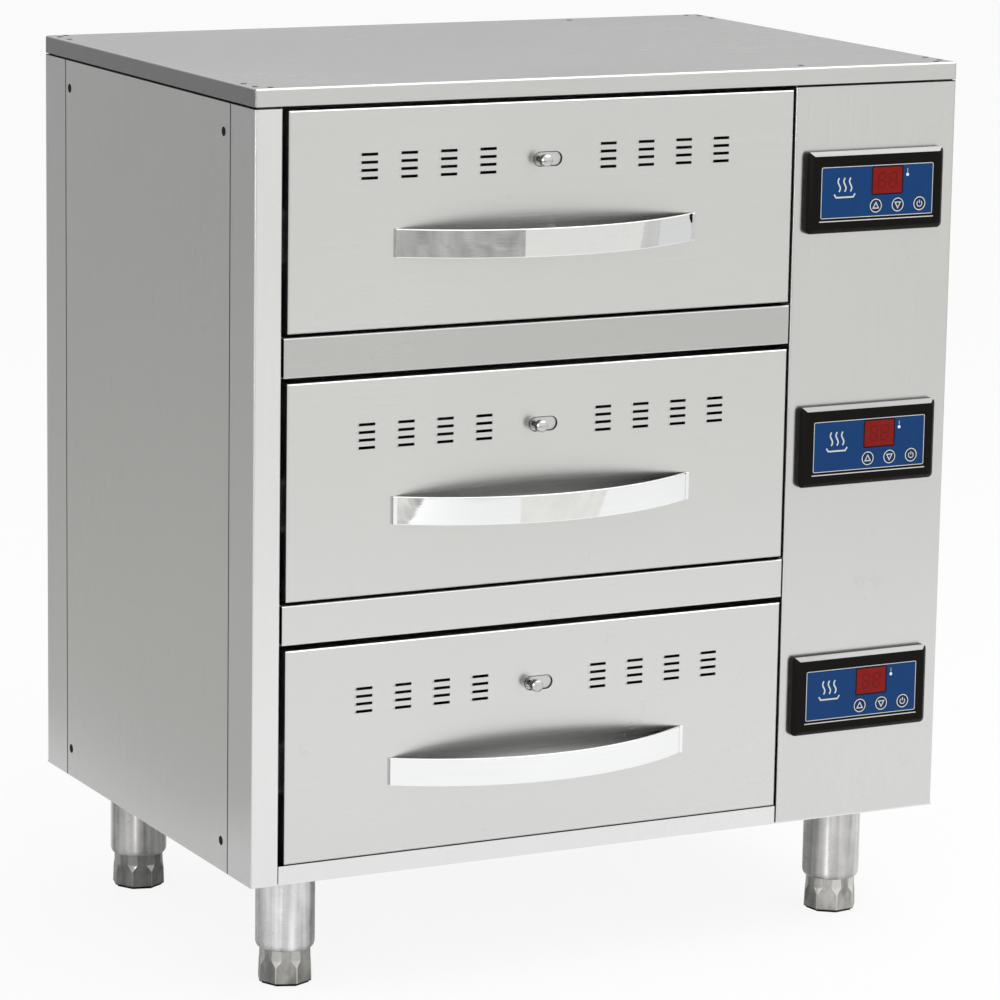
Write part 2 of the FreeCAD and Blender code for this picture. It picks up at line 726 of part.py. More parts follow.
def drawer_origin(drawer):
    """Place a drawer piece at the lower left corner of its drawer front."""
    return "%s + %s" % (LEFT, FRONT_LEFT), FRONT + " - front_proud", "%s + %s" % (BASE, front_bottom(drawer))


def vent_group_starts():
    """Give the left-hand side of the first vent column in the left and in the right group."""
    span = "(%d*vent_pitch + vent_length)" % (VENT_COLUMNS - 1)
    return "vent_inset", "front_width - vent_inset - " + span


def cut_vents(body):
    """Cut the vents of a drawer front: one column of slots, repeated across each group."""
    middle_row = (VENT_ROWS - 1) / 2
    for start in vent_group_starts():
        sketch = new_sketch(body, "XZ")
        for row in range(VENT_ROWS):
            low = "front_height - vent_drop + %.1f*vent_step - vent_height/2" % (row - middle_row)
            add_outline(sketch, corners_of(start, low, start + " + vent_length", low + " + vent_height"))
        column = pocket(body, sketch, "2*front_sheet")
        pattern(body, column, "X", "vent_pitch", VENT_COLUMNS)


def make_drawer_front(drawer):
    """Fold a drawer front: a shallow tray with vents, the knob's slot and two guides for the shutter."""
    body = new_body(DRAWERS[drawer] + "_drawer_front", *drawer_origin(drawer))
    outer = corners_of("0", "0", "front_width", "front_height")
    pad(body, outline(body, "XZ", outer), "front_depth")
    hollow(body, "front_sheet", Vector(0, 1, 0))
    dress("Chamfer", body, "front_bevel", edges_before(body.Tip.Shape, "0"))
    cut_vents(body)
    track = obround(body, "XZ", "front_width/2", "front_height - knob_drop", "track_length", "track_height")
    pocket(body, track, "2*front_sheet")
    middle = "(front_height - vent_drop)"
    edge = "(shutter_height/2 + shutter_gap)"
    over = "(front_sheet + 2*shutter_gap + shutter_sheet)"
    start = "(vent_inset - 2*(%s))" % VENT_TRAVEL
    for sign in ("-", "+"):
        heights = [edge, edge + " + front_sheet", edge + " - guide_lip", edge + " + guide_foot"]
        web, foot_top, lip, foot_end = ["%s %s (%s)" % (middle, sign, height) for height in heights]
        section = [
            ("front_sheet", foot_end),
            ("2*front_sheet", foot_end),
            ("2*front_sheet", foot_top),
            (over + " + front_sheet", foot_top),
            (over + " + front_sheet", lip),
            (over, lip),
            (over, web),
            ("front_sheet", web),
        ]
        pad(body, outline(body, "YZ", section, start), "front_width - 2*" + start)


def make_vent_shutter(drawer):
    """Cut a shutter plate, whose windows stand behind the vents until it slides to the right."""
    body = new_body(DRAWERS[drawer] + "_vent_shutter", *drawer_origin(drawer))
    front = "front_sheet + shutter_gap"
    middle = "(front_height - vent_drop)"
    x0 = "vent_inset - (%s) - shutter_margin" % VENT_TRAVEL
    x1 = "front_width - vent_inset + shutter_margin"
    low, high = middle + " - shutter_height/2", middle + " + shutter_height/2"
    pad(body, rectangle(body, "XZ", x0, low, x1, high, front), "shutter_sheet")
    half = "(%.1f*vent_step + vent_height)" % ((VENT_ROWS - 1) / 2)
    for start in vent_group_starts():
        right = start + " + vent_length"
        corner = "%s - (%s)" % (right, VENT_TRAVEL), "%s - %s" % (middle, half)
        window = rectangle(body, "XZ", *corner, right, "%s + %s" % (middle, half), front)
        cut = pocket(body, window, "2*shutter_sheet")
        pattern(body, cut, "X", "vent_pitch", VENT_COLUMNS)
    knob = ("(front_width - (%s))/2" % VENT_TRAVEL, "front_height - knob_drop")
    hole = about(*knob, "knob_square + 2*pass_gap", "knob_square + 2*pass_gap")
    pocket(body, rectangle(body, "XZ", *hole, front), "2*shutter_sheet")


def make_vent_knob(drawer):
    """Turn the knob that moves a shutter, with a square shank and a square nut behind the plate."""
    x, y, z = drawer_origin(drawer)
    x += " + (front_width - (%s))/2" % VENT_TRAVEL
    body = new_body(DRAWERS[drawer] + "_vent_knob", x, y, z + " + front_height - knob_drop")
    head = "knob_head/2"
    corners = [
        ("0", "-knob_reach"),
        (head + " - knob_dome", "-knob_reach"),
        (head, "knob_dome - knob_reach"),
        (head, "knob_head_length - knob_reach"),
        ("0", "knob_head_length - knob_reach"),
    ]
    revolve(body, corners, "XY", "Y")
    plate = "front_sheet + shutter_gap"
    shank = about("0", "0", "knob_square", "knob_square")
    behind_head = "knob_head_length - knob_reach"
    pad(body, rectangle(body, "XZ", *shank, behind_head), "%s + shutter_sheet - (%s)" % (plate, behind_head))
    nut = about("0", "0", "knob_nut", "knob_nut")
    pad(body, rectangle(body, "XZ", *nut, plate + " + shutter_sheet"), "knob_nut_depth")


def make_handle(drawer):
    """Bend a bow handle from flat band, with a flat land at each end against the drawer front."""
    x, y, z = drawer_origin(drawer)
    body = new_body(
        DRAWERS[drawer] + "_drawer_handle",
        x + " + front_width/2",
        y,
        z + " + front_height - handle_drop - handle_height/2",
    )
    end, bend = "handle_length/2", "(handle_length/2 - handle_land)"
    rise = "(handle_reach - handle_band)"
    radius = "((%s^2 + %s^2)/(2*%s))" % (bend, rise, rise)
    inner = "(%s - handle_band)" % radius
    inner_end = "sqrt(%s^2 - (%s - handle_reach)^2)" % (inner, radius)
    corners = [
        ("-" + end, "0"),
        ("-" + end, "-handle_band"),
        ("-" + bend, "-handle_band"),
        (bend, "-handle_band"),
        (end, "-handle_band"),
        (end, "0"),
        (inner_end, "0"),
        ("-" + inner_end, "0"),
    ]
    arcs = {2: (radius, ("0", "-handle_reach")), 6: (inner, ("0", "handle_band - handle_reach"))}
    pad(body, outline(body, "XY", corners, arcs=arcs), "handle_height")


def make_drawer_box(drawer):
    """Form a drawer box: a tub with a rim behind a backing plate that closes the drawer front."""
    body = new_body(DRAWERS[drawer] + "_drawer_box", *drawer_origin(drawer))
    x0, x1 = "%s - %s" % (BOX_LEFT, FRONT_LEFT), "%s - %s" % (BOX_RIGHT, FRONT_LEFT)
    y0, y1 = "front_depth", "front_depth + box_length"
    top = "box_rise + box_height"
    pad(body, rectangle(body, "XY", x0, y0, x1, y1, "box_rise"), "box_height")
    rim = rectangle(
        body, "XY", x0 + " - box_rim", y0, x1 + " + box_rim", y1 + " + box_rim", top + " - box_sheet"
    )
    pad(body, rim, "box_sheet")
    inner = [x0 + " + box_sheet", y0 + " + box_sheet", x1 + " - box_sheet", y1 + " - box_sheet"]
    pocket(body, rectangle(body, "XY", *inner, "box_rise + box_sheet"), "2*box_height")
    edge = "front_sheet + backing_gap"
    far = ["%s - (%s)" % (size, edge) for size in ("front_width", "front_height")]
    pad(body, rectangle(body, "XZ", edge, edge, *far, "front_depth - box_sheet"), "box_sheet")
    half = "(%.1f*vent_step + vent_height)" % ((VENT_ROWS - 1) / 2)
    middle = "(front_height - vent_drop)"
    for start in vent_group_starts():
        end = "%s + %d*vent_pitch + vent_length" % (start, VENT_COLUMNS - 1)
        low, high = "%s - %s" % (middle, half), "%s + %s" % (middle, half)
        window = rectangle(body, "XZ", start, low, end, high, "front_depth - 2*box_sheet")
        pocket(body, window, "4*box_sheet")


def slide_sections():
    """Outline the three members of a telescopic slide: on the cabinet, between and on the drawer."""
    reach = "slide_thickness - slide_sheet - slide_gap"
    step = "slide_sheet + slide_gap"
    outer = ("0", "slide_sheet", reach, "(slide_height/2)")
    between = (step, step + " + slide_sheet", reach, "(slide_height/2 - (%s))" % step)
    inner_half = "(slide_height/2 - 2*slide_sheet - 2*slide_gap)"
    inner = ("slide_thickness", "slide_thickness - slide_sheet", "2*slide_sheet + 2*slide_gap", inner_half)
    sections = []
    for web, web_inside, tip, half in (outer, between, inner):
        corners = [
            (web, "-" + half),
            (tip, "-" + half),
            (tip, "slide_sheet - " + half),
            (web_inside, "slide_sheet - " + half),
            (web_inside, half + " - slide_sheet"),
            (tip, half + " - slide_sheet"),
            (tip, half),
            (web, half),
        ]
        sections.append(corners)
    return sections


def make_slide_members(label, member, drawer, copies=1):
    """Roll one member of the slides on both sides of a drawer."""
    x = "%s + %s" % (LEFT, CHAMBER_LEFT)
    z = "%s + %s + slide_rise" % (BASE, front_bottom(drawer))
    body = new_body(label, x, FRONT + " + slide_setback", z)
    chamber = "(%s - (%s))" % (CHAMBER_RIGHT, CHAMBER_LEFT)
    section = slide_sections()[member]
    for corners in (section, flipped(section, across=chamber)):
        rail = pad(body, outline(body, "XZ", corners), "slide_length")
        if copies > 1:
            pattern(body, rail, "Z", "drawer_pitch", copies)


# --- heating ------------------------------------------------------------------------------------------


def make_heating_elements():
    """Press three strip elements, which lie on saddles and end in a collar behind the partition wall."""
    body = new_body(
        "heating_elements", "%s + %s" % (LEFT, CHAMBER_RIGHT), FRONT + " + body_depth/2", BASE
    )
    start = "element_width/2 - element_run"
    for drawer in range(len(DRAWERS)):
        ground = shelf_top(drawer)
        low = ground + " + element_lift"
        middle = low + " + element_height/2"
        strip = rectangle(body, "XY", start, "-element_width/2", "-element_width/2", "element_width/2", low)
        pad(body, strip, "element_height")
        head = about("0", middle, "element_head", "element_height")
        shaft = rectangle(body, "YZ", *head, "-element_width/2")
        pad(body, shaft, "element_width/2 + case_sheet + element_tail")
        wide, high = "element_head + 2*element_collar", "element_height + 2*element_collar"
        low_part = "element_collar - element_lift"
        collar = about("0", middle + " + (%s)/2" % low_part, wide, "%s - (%s)" % (high, low_part))
        pad(body, rectangle(body, "YZ", *collar, "case_sheet"), "element_collar")
        for x in (start, "-element_width/2 - saddle_length"):
            end = x + " + saddle_length"
            saddle = rectangle(body, "XY", x, "-element_width/2", end, "element_width/2", ground)
            pad(body, saddle, "element_lift")


def make_temperature_probes():
    """Turn three probes, which look through the partition wall above each drawer box."""
    body = new_body("temperature_probes", "%s + %s" % (LEFT, CHAMBER_RIGHT), FRONT + " + probe_depth", BASE)
    for drawer in range(len(DRAWERS)):
        middle = [("0", "%s + probe_rise" % front_bottom(drawer))]
        stem = polygons(body, "YZ", middle, "probe_bore", HOLE_SIDES, "-probe_reach")
        pad(body, stem, "probe_reach + case_sheet")
        head = about(*middle[0], "probe_head", "probe_head")
        pad(body, rectangle(body, "YZ", *head, "case_sheet"), "probe_bore")


# --- controls -----------------------------------------------------------------------------------------


def new_control_body(label):
    """Start a piece of the controllers, placed on the fascia in the middle of the column."""
    x = "%s + %s + control_width/2 - controller_shift" % (LEFT, DOOR_SIDE)
    return new_body(label, x, FRONT, BASE)


def button_places(index):
    """Give the middles of the three buttons of a controller."""
    height = controller_middle(index) + " - button_drop"
    return [("button_side + %d*button_pitch" % step, height) for step in (-1, 0, 1)]


def make_controller_bezels():
    """Mould the three bezels, with a recess for the overlay and room for display and buttons."""
    body = new_control_body("controller_bezels")
    for index in range(len(DRAWERS)):
        outer = rectangle(body, "XZ", *about("0", controller_middle(index), "bezel_width", "bezel_height"))
        pad(body, outer, "bezel_depth", forward=False)
    front_edges = edges_before(body.Tip.Shape, "-bezel_depth")
    dress("Chamfer", body, "bezel_bevel", front_edges)
    for index in range(len(DRAWERS)):
        middle = controller_middle(index)
        recess = about("0", middle, "label_width + 2*label_gap", "label_height + 2*label_gap")
        pocket(body, rectangle(body, "XZ", *recess, "-bezel_depth"), "label_sheet")
        window = about("display_side", middle + " + display_rise", "display_width", "display_height")
        pocket(body, rectangle(body, "XZ", *window, "-bezel_depth"), "label_sheet + display_depth")
        hole = "2*button_radius + 2*button_gap"
        row = about(*button_places(index)[1], "2*button_pitch + " + hole, hole)
        pocket(body, rectangle(body, "XZ", *row, "-bezel_depth"), "bezel_depth")


def make_controller_overlays():
    """Cut the three overlays, each with a window for the display and holes for the buttons."""
    body = new_control_body("controller_overlays")
    for index in range(len(DRAWERS)):
        middle = controller_middle(index)
        outer = about("0", middle, "label_width", "label_height")
        pad(body, rectangle(body, "XZ", *outer, "-bezel_depth"), "label_sheet")
        window = about("display_side", middle + " + display_rise", "display_width", "display_height")
        pocket(body, rectangle(body, "XZ", *window, "-bezel_depth"), "2*label_sheet")
        across = "2*button_radius + 2*button_gap"
        holes = polygons(body, "XZ", button_places(index), across, ROUND_SIDES, "-bezel_depth")
        pocket(body, holes, "2*label_sheet")


def make_controller_displays():
    """Mould the three display windows, which stand flush in the overlays."""
    body = new_control_body("controller_displays")
    size = ("display_width - 2*label_gap", "display_height - 2*label_gap")
    for index in range(len(DRAWERS)):
        window = about("display_side", controller_middle(index) + " + display_rise", *size)
        pad(body, rectangle(body, "XZ", *window, "-bezel_depth"), "label_sheet + display_depth")


def make_buttons():
    """Mould the nine push buttons, each on its own."""
    for index, drawer in enumerate(reversed(DRAWERS)):
        for name, (x, height) in zip(("up", "down", "power"), button_places(index)):
            body = new_control_body("%s_%s_button" % (drawer, name))
            outer = polygons(body, "XZ", [(x, height)], "2*button_radius", ROUND_SIDES, "-bezel_depth")
            pad(body, outer, "button_depth")


def make_controller_cases():
    """Mould the three controller cases behind the fascia, each held by a clamp on both sides."""
    body = new_control_body("controller_cases")
    for index in range(len(DRAWERS)):
        middle = controller_middle(index)
        case = about("0", middle, "case_width", "case_height")
        pad(body, rectangle(body, "XZ", *case), "case_depth")
        clamps = about("0", middle, "case_width + 2*clamp_width", "clamp_height")
        pad(body, rectangle(body, "XZ", *clamps, "case_sheet"), "clamp_depth")


# --- power --------------------------------------------------------------------------------------------


def make_terminal_block():
    """Mould the terminal block on the partition wall, with one way after another."""
    x = "%s + %s + case_sheet" % (LEFT, CHAMBER_RIGHT)
    y = FRONT + " + body_depth - block_back - block_length"
    body = new_body("terminal_block", x, y, BASE + " + block_rise")
    pad(body, rectangle(body, "YZ", "0", "0", "block_length", "block_height"), "block_depth")
    margin = "(block_length - %d*block_way + block_way - block_slot)/2" % BLOCK_WAYS
    floor = "block_depth - block_slot_depth"
    way = rectangle(body, "YZ", margin, "block_foot", margin + " + block_slot", "block_height", floor)
    cut = pocket(body, way, "block_depth")
    pattern(body, cut, "Y", "block_way", BLOCK_WAYS)


def make_cable_gland():
    """Mould the cable gland in the back panel: thread, two hexagons and the cap that grips a cable."""
    x = "body_width/2 - gland_side"
    body = new_body("cable_gland", x, FRONT + " + body_depth", BASE + " + gland_rise")
    middle = [("0", "0")]
    inside = "-case_sheet - gland_nut"
    pad(body, polygons(body, "XZ", middle, "gland_thread", HOLE_SIDES, "-case_sheet"), "case_sheet")
    pad(body, polygons(body, "XZ", middle, "gland_across", HEX_SIDES), "gland_nut")
    pad(body, polygons(body, "XZ", middle, "gland_across", HEX_SIDES, inside), "gland_nut")
    pad(body, circles(body, "XZ", middle, "gland_cap/2", "gland_nut"), "gland_reach - gland_nut")
    pocket(body, circles(body, "XZ", [("0", "0")], "gland_bore/2", "-gland_reach"), "3*gland_reach")


# --- stand --------------------------------------------------------------------------------------------


def make_legs():
    """Turn the four legs: closed at the top and bevelled round the mouth that each foot slides in."""
    body = new_body("legs", LEFT + " + leg_side", FRONT + " + leg_front", BASE)
    length = "(stand_height - foot_visible)"
    outer, mouth = "leg_diameter/2", "foot_neck + 2*foot_gap"
    corners = [
        ("0", "0"),
        ("0", "-" + length),
        (outer + " - leg_bevel", "-" + length),
        (outer, "leg_lip - " + length),
        (outer, "0"),
    ]
    tube = revolve(body, corners)
    bore = polygons(body, "XY", [("0", "0")], mouth, ROUND_SIDES, "-" + length)
    hollowed = pocket(body, bore, length + " - leg_plate")
    copies = body.newObject("PartDesign::MultiTransform", "legs_pattern")
    copies.Originals = [tube, hollowed]
    steps = []
    for axis, spacing in (("X", "body_width - 2*leg_side"), ("Y", "body_depth - 2*leg_front")):
        one = body.newObject("PartDesign::LinearPattern", "legs_along_" + axis.lower())
        one.Direction = (origin_part(body, axis + "_Axis"), [""])
        one.Mode = "Spacing"
        bind(one, "Offset", spacing)
        one.Occurrences = 2
        steps.append(one)
    copies.Transformations = steps
    body.Tip = copies
    doc.recompute()


def make_foot(label, x, y, turn):
    """Turn a foot and mill its eight facets, which end in arches because the foot is a cone."""
    body = new_body(label + "_foot", x, y, "0", turn)
    blank = polygons(body, "XY", [("0", "0")], "foot_base", ROUND_SIDES, "pad_thickness")
    cone = pad(body, blank, FOOT_HEIGHT)
    bind(cone, "TaperAngle", "atan((foot_neck - foot_base)/2/(%s))" % FOOT_HEIGHT)
    doc.recompute()
    flat, edge = "foot_flats/2", "foot_base"
    facet = [
        (flat, "pad_thickness"),
        (edge, "pad_thickness"),
        (edge, "pad_thickness + foot_facet"),
        (flat + " + foot_flare", "pad_thickness + foot_facet"),
    ]
    cut = pocket(body, outline(body, "XZ", facet, "-foot_base/2"), "foot_base")
    turned_pattern(body, cut, "Z", FOOT_FACETS)
    stem = polygons(body, "XY", [("0", "0")], "foot_stem", HEX_SIDES, "pad_thickness + " + FOOT_HEIGHT)
    pad(body, stem, "foot_stem_length")
    pad_body = new_body(label + "_foot_pad", x, y, "0", turn)
    outer = polygons(pad_body, "XY", [("0", "0")], "foot_flats - 2*pad_inset", FOOT_FACETS)
    pad(pad_body, outer, "pad_thickness")


def make_feet():
    """Place the four feet; each has been screwed in by another part of a turn."""
    near_x, far_x = LEFT + " + leg_side", "body_width/2 - leg_side"
    near_y, far_y = FRONT + " + leg_front", FRONT + " + body_depth - leg_front"
    make_foot("front_left", near_x, near_y, -20.8)
    make_foot("front_right", far_x, near_y, -37.2)
    make_foot("rear_left", near_x, far_y, -14.6)
    make_foot("rear_right", far_x, far_y, -5)


# --- assembly -----------------------------------------------------------------------------------------

make_top_cover()
make_posts()
make_control_fascia()
make_side_panel("left_side_panel", right=False)
make_side_panel("right_side_panel", right=True)
make_back_panel()
make_base_panel()
make_mid_front_rails()
make_partition_wall()
make_left_liner()
make_chamber_shelves()
make_slide_members("slide_cabinet_members", 0, len(DRAWERS) - 1, len(DRAWERS))
for number, drawer_name in enumerate(DRAWERS):
    make_drawer_front(number)
    make_drawer_box(number)
    make_handle(number)
    make_vent_shutter(number)
    make_vent_knob(number)
    make_slide_members(drawer_name + "_slide_drawer_members", 2, number)
    make_slide_members(drawer_name + "_slide_middle_members", 1, number)
make_heating_elements()
make_temperature_probes()
make_controller_bezels()
make_controller_overlays()
make_controller_displays()
make_buttons()
make_controller_cases()
make_terminal_block()
make_cable_gland()
make_legs()
make_feet()

doc.recompute()
for item in doc.Objects:
    if "Invalid" in item.State or "Error" in item.State:
        raise RuntimeError("%s failed: %s" % (item.Name, item.State))
for node in nodes:
    if node.Shape.isNull() or not node.Shape.isValid() or not node.Shape.Solids:
        raise RuntimeError(node.Label + " has no valid solid")

os.makedirs("parts", exist_ok=True)
for node in nodes:
    node.Shape.exportStep("parts/%s.step" % node.Label)
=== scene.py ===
"""Looks of the drawer cabinet: its finishes, fittings, handles, stand and controllers, and the studio round it."""

import json
import logging
import math
from dataclasses import dataclass, field
from enum import Enum
from typing import Callable, Optional, Sequence, Union

import bmesh
import bpy
import numpy as np
from mathutils import Matrix, Vector

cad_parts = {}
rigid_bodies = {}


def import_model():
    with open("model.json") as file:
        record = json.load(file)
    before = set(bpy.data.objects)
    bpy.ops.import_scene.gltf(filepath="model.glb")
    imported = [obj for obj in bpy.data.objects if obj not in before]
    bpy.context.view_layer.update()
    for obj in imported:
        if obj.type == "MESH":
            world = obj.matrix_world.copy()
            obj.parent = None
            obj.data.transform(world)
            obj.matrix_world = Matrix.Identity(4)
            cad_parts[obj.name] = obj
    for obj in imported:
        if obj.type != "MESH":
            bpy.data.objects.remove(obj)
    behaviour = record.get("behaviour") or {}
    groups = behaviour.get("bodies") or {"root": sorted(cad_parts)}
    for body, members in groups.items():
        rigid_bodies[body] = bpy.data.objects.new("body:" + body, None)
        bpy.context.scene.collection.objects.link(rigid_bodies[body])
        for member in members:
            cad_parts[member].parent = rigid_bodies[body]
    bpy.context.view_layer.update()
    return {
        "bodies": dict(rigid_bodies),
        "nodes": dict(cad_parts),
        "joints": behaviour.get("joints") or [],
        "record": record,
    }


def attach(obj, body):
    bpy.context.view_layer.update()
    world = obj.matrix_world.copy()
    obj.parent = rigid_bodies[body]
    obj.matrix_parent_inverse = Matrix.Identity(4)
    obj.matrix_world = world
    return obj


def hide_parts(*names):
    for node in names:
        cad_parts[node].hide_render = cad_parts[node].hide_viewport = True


LOG = logging.getLogger("cabinet")
DRAWERS = ("bottom", "middle", "top")
LOWEST_DRAWER, DRAWER_PITCH = 0.12935, 0.235
LOWEST_CONTROLLER, CONTROLLER_PITCH = 0.2307, 0.2333
Array = np.ndarray
Number = Union[float, "Socket"]
Colour = tuple[float, float, float]
Triple = tuple[float, float, float]
Flat = tuple[float, float]
BLACK: Colour = (0.0, 0.0, 0.0)
# Nearly black, for painted shade on chrome.
SHADE_BLACK: Colour = (0.02, 0.02, 0.02)
WHITE: Colour = (1.0, 1.0, 1.0)
EVEN: Triple = (1.0, 1.0, 1.0)


class Axis(Enum):
    """An axis of the part, as its place in a coordinate."""

    X = 0
    Y = 1
    Z = 2


class Symbol(Enum):
    """What is printed on a push button."""

    UP = "up"
    DOWN = "down"
    POWER = "power"


# --- shader maths -------------------------------------------------------------------------------------


def operator(operation: str, reflected: bool = False) -> Callable[["Socket", Number], "Socket"]:
    """Write the method of one operator.

    Args:
        operation: the Math node's operation.
        reflected: the other value comes first.

    Returns:
        The method, which adds the node.
    """

    def method(self: "Socket", other: Number) -> "Socket":
        """Return the operation on self and the other value."""
        first, second = (other, self) if reflected else (self, other)
        return self.graph.node("ShaderNodeMath", {"operation": operation}, {0: first, 1: second})

    return method


class Socket:
    """An output socket of a material that arithmetic can be written on."""

    __add__ = operator("ADD")
    __radd__ = operator("ADD", True)
    __sub__ = operator("SUBTRACT")
    __rsub__ = operator("SUBTRACT", True)
    __mul__ = operator("MULTIPLY")
    __rmul__ = operator("MULTIPLY", True)
    __truediv__ = operator("DIVIDE")
    __rtruediv__ = operator("DIVIDE", True)
    __gt__ = operator("GREATER_THAN")
    above = operator("MAXIMUM")
    below = operator("MINIMUM")
    absolute = operator("ABSOLUTE")

    def __init__(self, graph: "Graph", link: bpy.types.NodeSocket) -> None:
        """Keep the socket with the graph that it belongs to."""
        self.graph = graph
        self.link = link

    def __abs__(self) -> "Socket":
        """Return self without its sign."""
        return self.absolute(0.0)

    def clamped(self) -> "Socket":
        """Return self kept between 0 and 1."""
        return self.below(1.0).above(0.0)

    def ramp(self, low: float, high: float) -> "Socket":
        """Return a smooth step from 0 at low to 1 at high."""
        settings = {"interpolation_type": "SMOOTHSTEP"}
        return self.graph.node("ShaderNodeMapRange", settings, {0: self, 1: low, 2: high, 3: 0.0, 4: 1.0})


class Graph:
    """The node tree of one material, with its Principled shader."""

    def __init__(self, name: str) -> None:
        """Start a material with nothing in it but its output and shader.

        Args:
            name: the material's name.
        """
        self.material = bpy.data.materials.new(name)
        self.material.use_nodes = True
        self.tree = self.material.node_tree
        self.tree.nodes.clear()
        self.output = self.tree.nodes.new("ShaderNodeOutputMaterial")
        self.shader = self.tree.nodes.new("ShaderNodeBsdfPrincipled")
        self.tree.links.new(self.shader.outputs[0], self.output.inputs[0])

    def node(
        self,
        kind: str,
        settings: Optional[dict[str, object]] = None,
        sockets: Optional[dict[Union[int, str], object]] = None,
        output: Union[int, str] = 0,
    ) -> Socket:
        """Add a node.

        Args:
            kind: the node's type.
            settings: its properties, and a ramp's stops under "stops" as pairs of place and colour.
            sockets: values or links by socket number or name.
            output: the output that is wanted.

        Returns:
            That output.
        """
        made = self.tree.nodes.new(kind)
        for name, setting in (settings or {}).items():
            if name == "stops":
                for index, (place, colour) in enumerate(setting):
                    stops = made.color_ramp.elements
                    stop = stops[index] if index < len(stops) else stops.new(place)
                    stop.position = place
                    stop.color = (*colour, 1.0)
            else:
                setattr(made, name, setting)
        for name, given in (sockets or {}).items():
            self.feed(made.inputs[name], given)
        return Socket(self, made.outputs[output])

    def feed(self, target: bpy.types.NodeSocket, given: object) -> None:
        """Give a socket its value or its link.

        Args:
            target: the input socket.
            given: another node's output, a colour or a number.
        """
        if isinstance(given, Socket):
            self.tree.links.new(given.link, target)
        elif isinstance(given, tuple) and target.type == "RGBA":
            target.default_value = (*given, 1.0)
        else:
            target.default_value = given

    def place(self, stretch: Triple = EVEN) -> Socket:
        """Return stretched Object coordinates."""
        here = self.node("ShaderNodeTexCoord", output="Object")
        return self.node("ShaderNodeMapping", {"vector_type": "POINT"}, {"Vector": here, "Scale": stretch})

    def along(self, axis: Axis) -> Socket:
        """Return one Object coordinate, in metres."""
        here = self.node("ShaderNodeTexCoord", output="Object")
        return self.node("ShaderNodeSeparateXYZ", None, {0: here}, axis.value)

    def noise(self, stretch: Triple, scale: float, detail: float = 2.0, roughness: float = 0.5) -> Socket:
        """Return a noise between 0 and 1.

        Args:
            stretch: how far the Object coordinates are stretched along each axis.
            scale: the noise's scale.
            detail: its detail.
            roughness: how strong its detail is.

        Returns:
            The noise.
        """
        sockets = {"Vector": self.place(stretch), "Scale": scale, "Detail": detail, "Roughness": roughness}
        return self.node("ShaderNodeTexNoise", None, sockets)

    def blend(self, factor: Number, first: object, second: object) -> Socket:
        """Return the mix of two colours."""
        return self.node("ShaderNodeMix", {"data_type": "RGBA"}, {0: factor, 6: first, 7: second}, 2)

    def bump(self, height: Socket, distance: float, strength: float = 1.0) -> Socket:
        """Return a normal from a height between 0 and 1 that stands for a distance in metres."""
        return self.node("ShaderNodeBump", None, {"Height": height, "Distance": distance, "Strength": strength})

    def finish(self, **sockets: object) -> bpy.types.Material:
        """Set sockets of the shader.

        Args:
            sockets: values or links by the sockets' names in lower case.

        Returns:
            The material.
        """
        for name, given in sockets.items():
            self.feed(self.shader.inputs[name.replace("_", " ").title().replace("Ior", "IOR")], given)
        return self.material


def tinted(colour: Colour, factor: float) -> Colour:
    """Return a colour made lighter or darker by a factor."""
    return tuple(min(1.0, part * factor) for part in colour)


# --- finishes -----------------------------------------------------------------------------------------


@dataclass(frozen=True)
class ShadeBand:
    """A band of painted shade on a sheet: where it lies on an axis, its half width and the share of its colour that it
    loses.
    """

    axis: Axis
    middle: float
    half: float
    loss: float


@dataclass(frozen=True)
class BrushedSteel:
    """Satin stainless sheet: fine lines along its grain, soft clouds, a few rubbed spots and any bands of painted
    shade that it is given.
    """

    name: str
    colour: Colour
    grain: Axis
    roughness: float = 0.25
    contrast: float = 0.016
    cloud: float = 0.03
    stretch: float = 0.4
    shade_bands: tuple[ShadeBand, ...] = ()
    lines_across: float = 900.0
    lines_along: float = 9.0
    streaks_across: float = 260.0
    streaks_along: float = 3.0

    def build(self) -> bpy.types.Material:
        """Return the material."""
        graph = Graph(self.name)
        fine, coarse = [self.lines_across] * 3, [self.streaks_across] * 3
        fine[self.grain.value], coarse[self.grain.value] = self.lines_along, self.streaks_along
        lines = graph.noise(tuple(fine), 1.0, 3.0, 0.65)
        broad = graph.noise(tuple(coarse), 1.0, 2.0)
        clouds = graph.noise(EVEN, 3.2, 3.0, 0.55)
        spots = graph.noise(EVEN, 38.0, 2.0).ramp(0.66, 0.8)
        tone = (lines - 0.5) * self.contrast * 2.0 + (broad - 0.5) * self.contrast + (clouds - 0.5) * self.cloud
        factor = (0.5 + tone * 2.0 - spots * 0.06).clamped()
        colour = graph.blend(factor, tinted(self.colour, 0.75), tinted(self.colour, 1.25))
        # Painted shade: each band blends the colour towards black.
        for band in self.shade_bands:
            inside = 1.0 - (abs(graph.along(band.axis) - band.middle) > band.half)
            colour = graph.blend(inside * band.loss, colour, BLACK)
        rough = self.roughness + (lines - 0.5) * 0.12 + (clouds - 0.5) * 0.08 + spots * 0.04
        normal = graph.bump(lines + broad * 0.5, 0.00002, 0.06)
        return graph.finish(
            base_color=colour, metallic=1.0, roughness=rough, normal=normal, anisotropic=self.stretch,
            anisotropic_rotation=0.25
        )


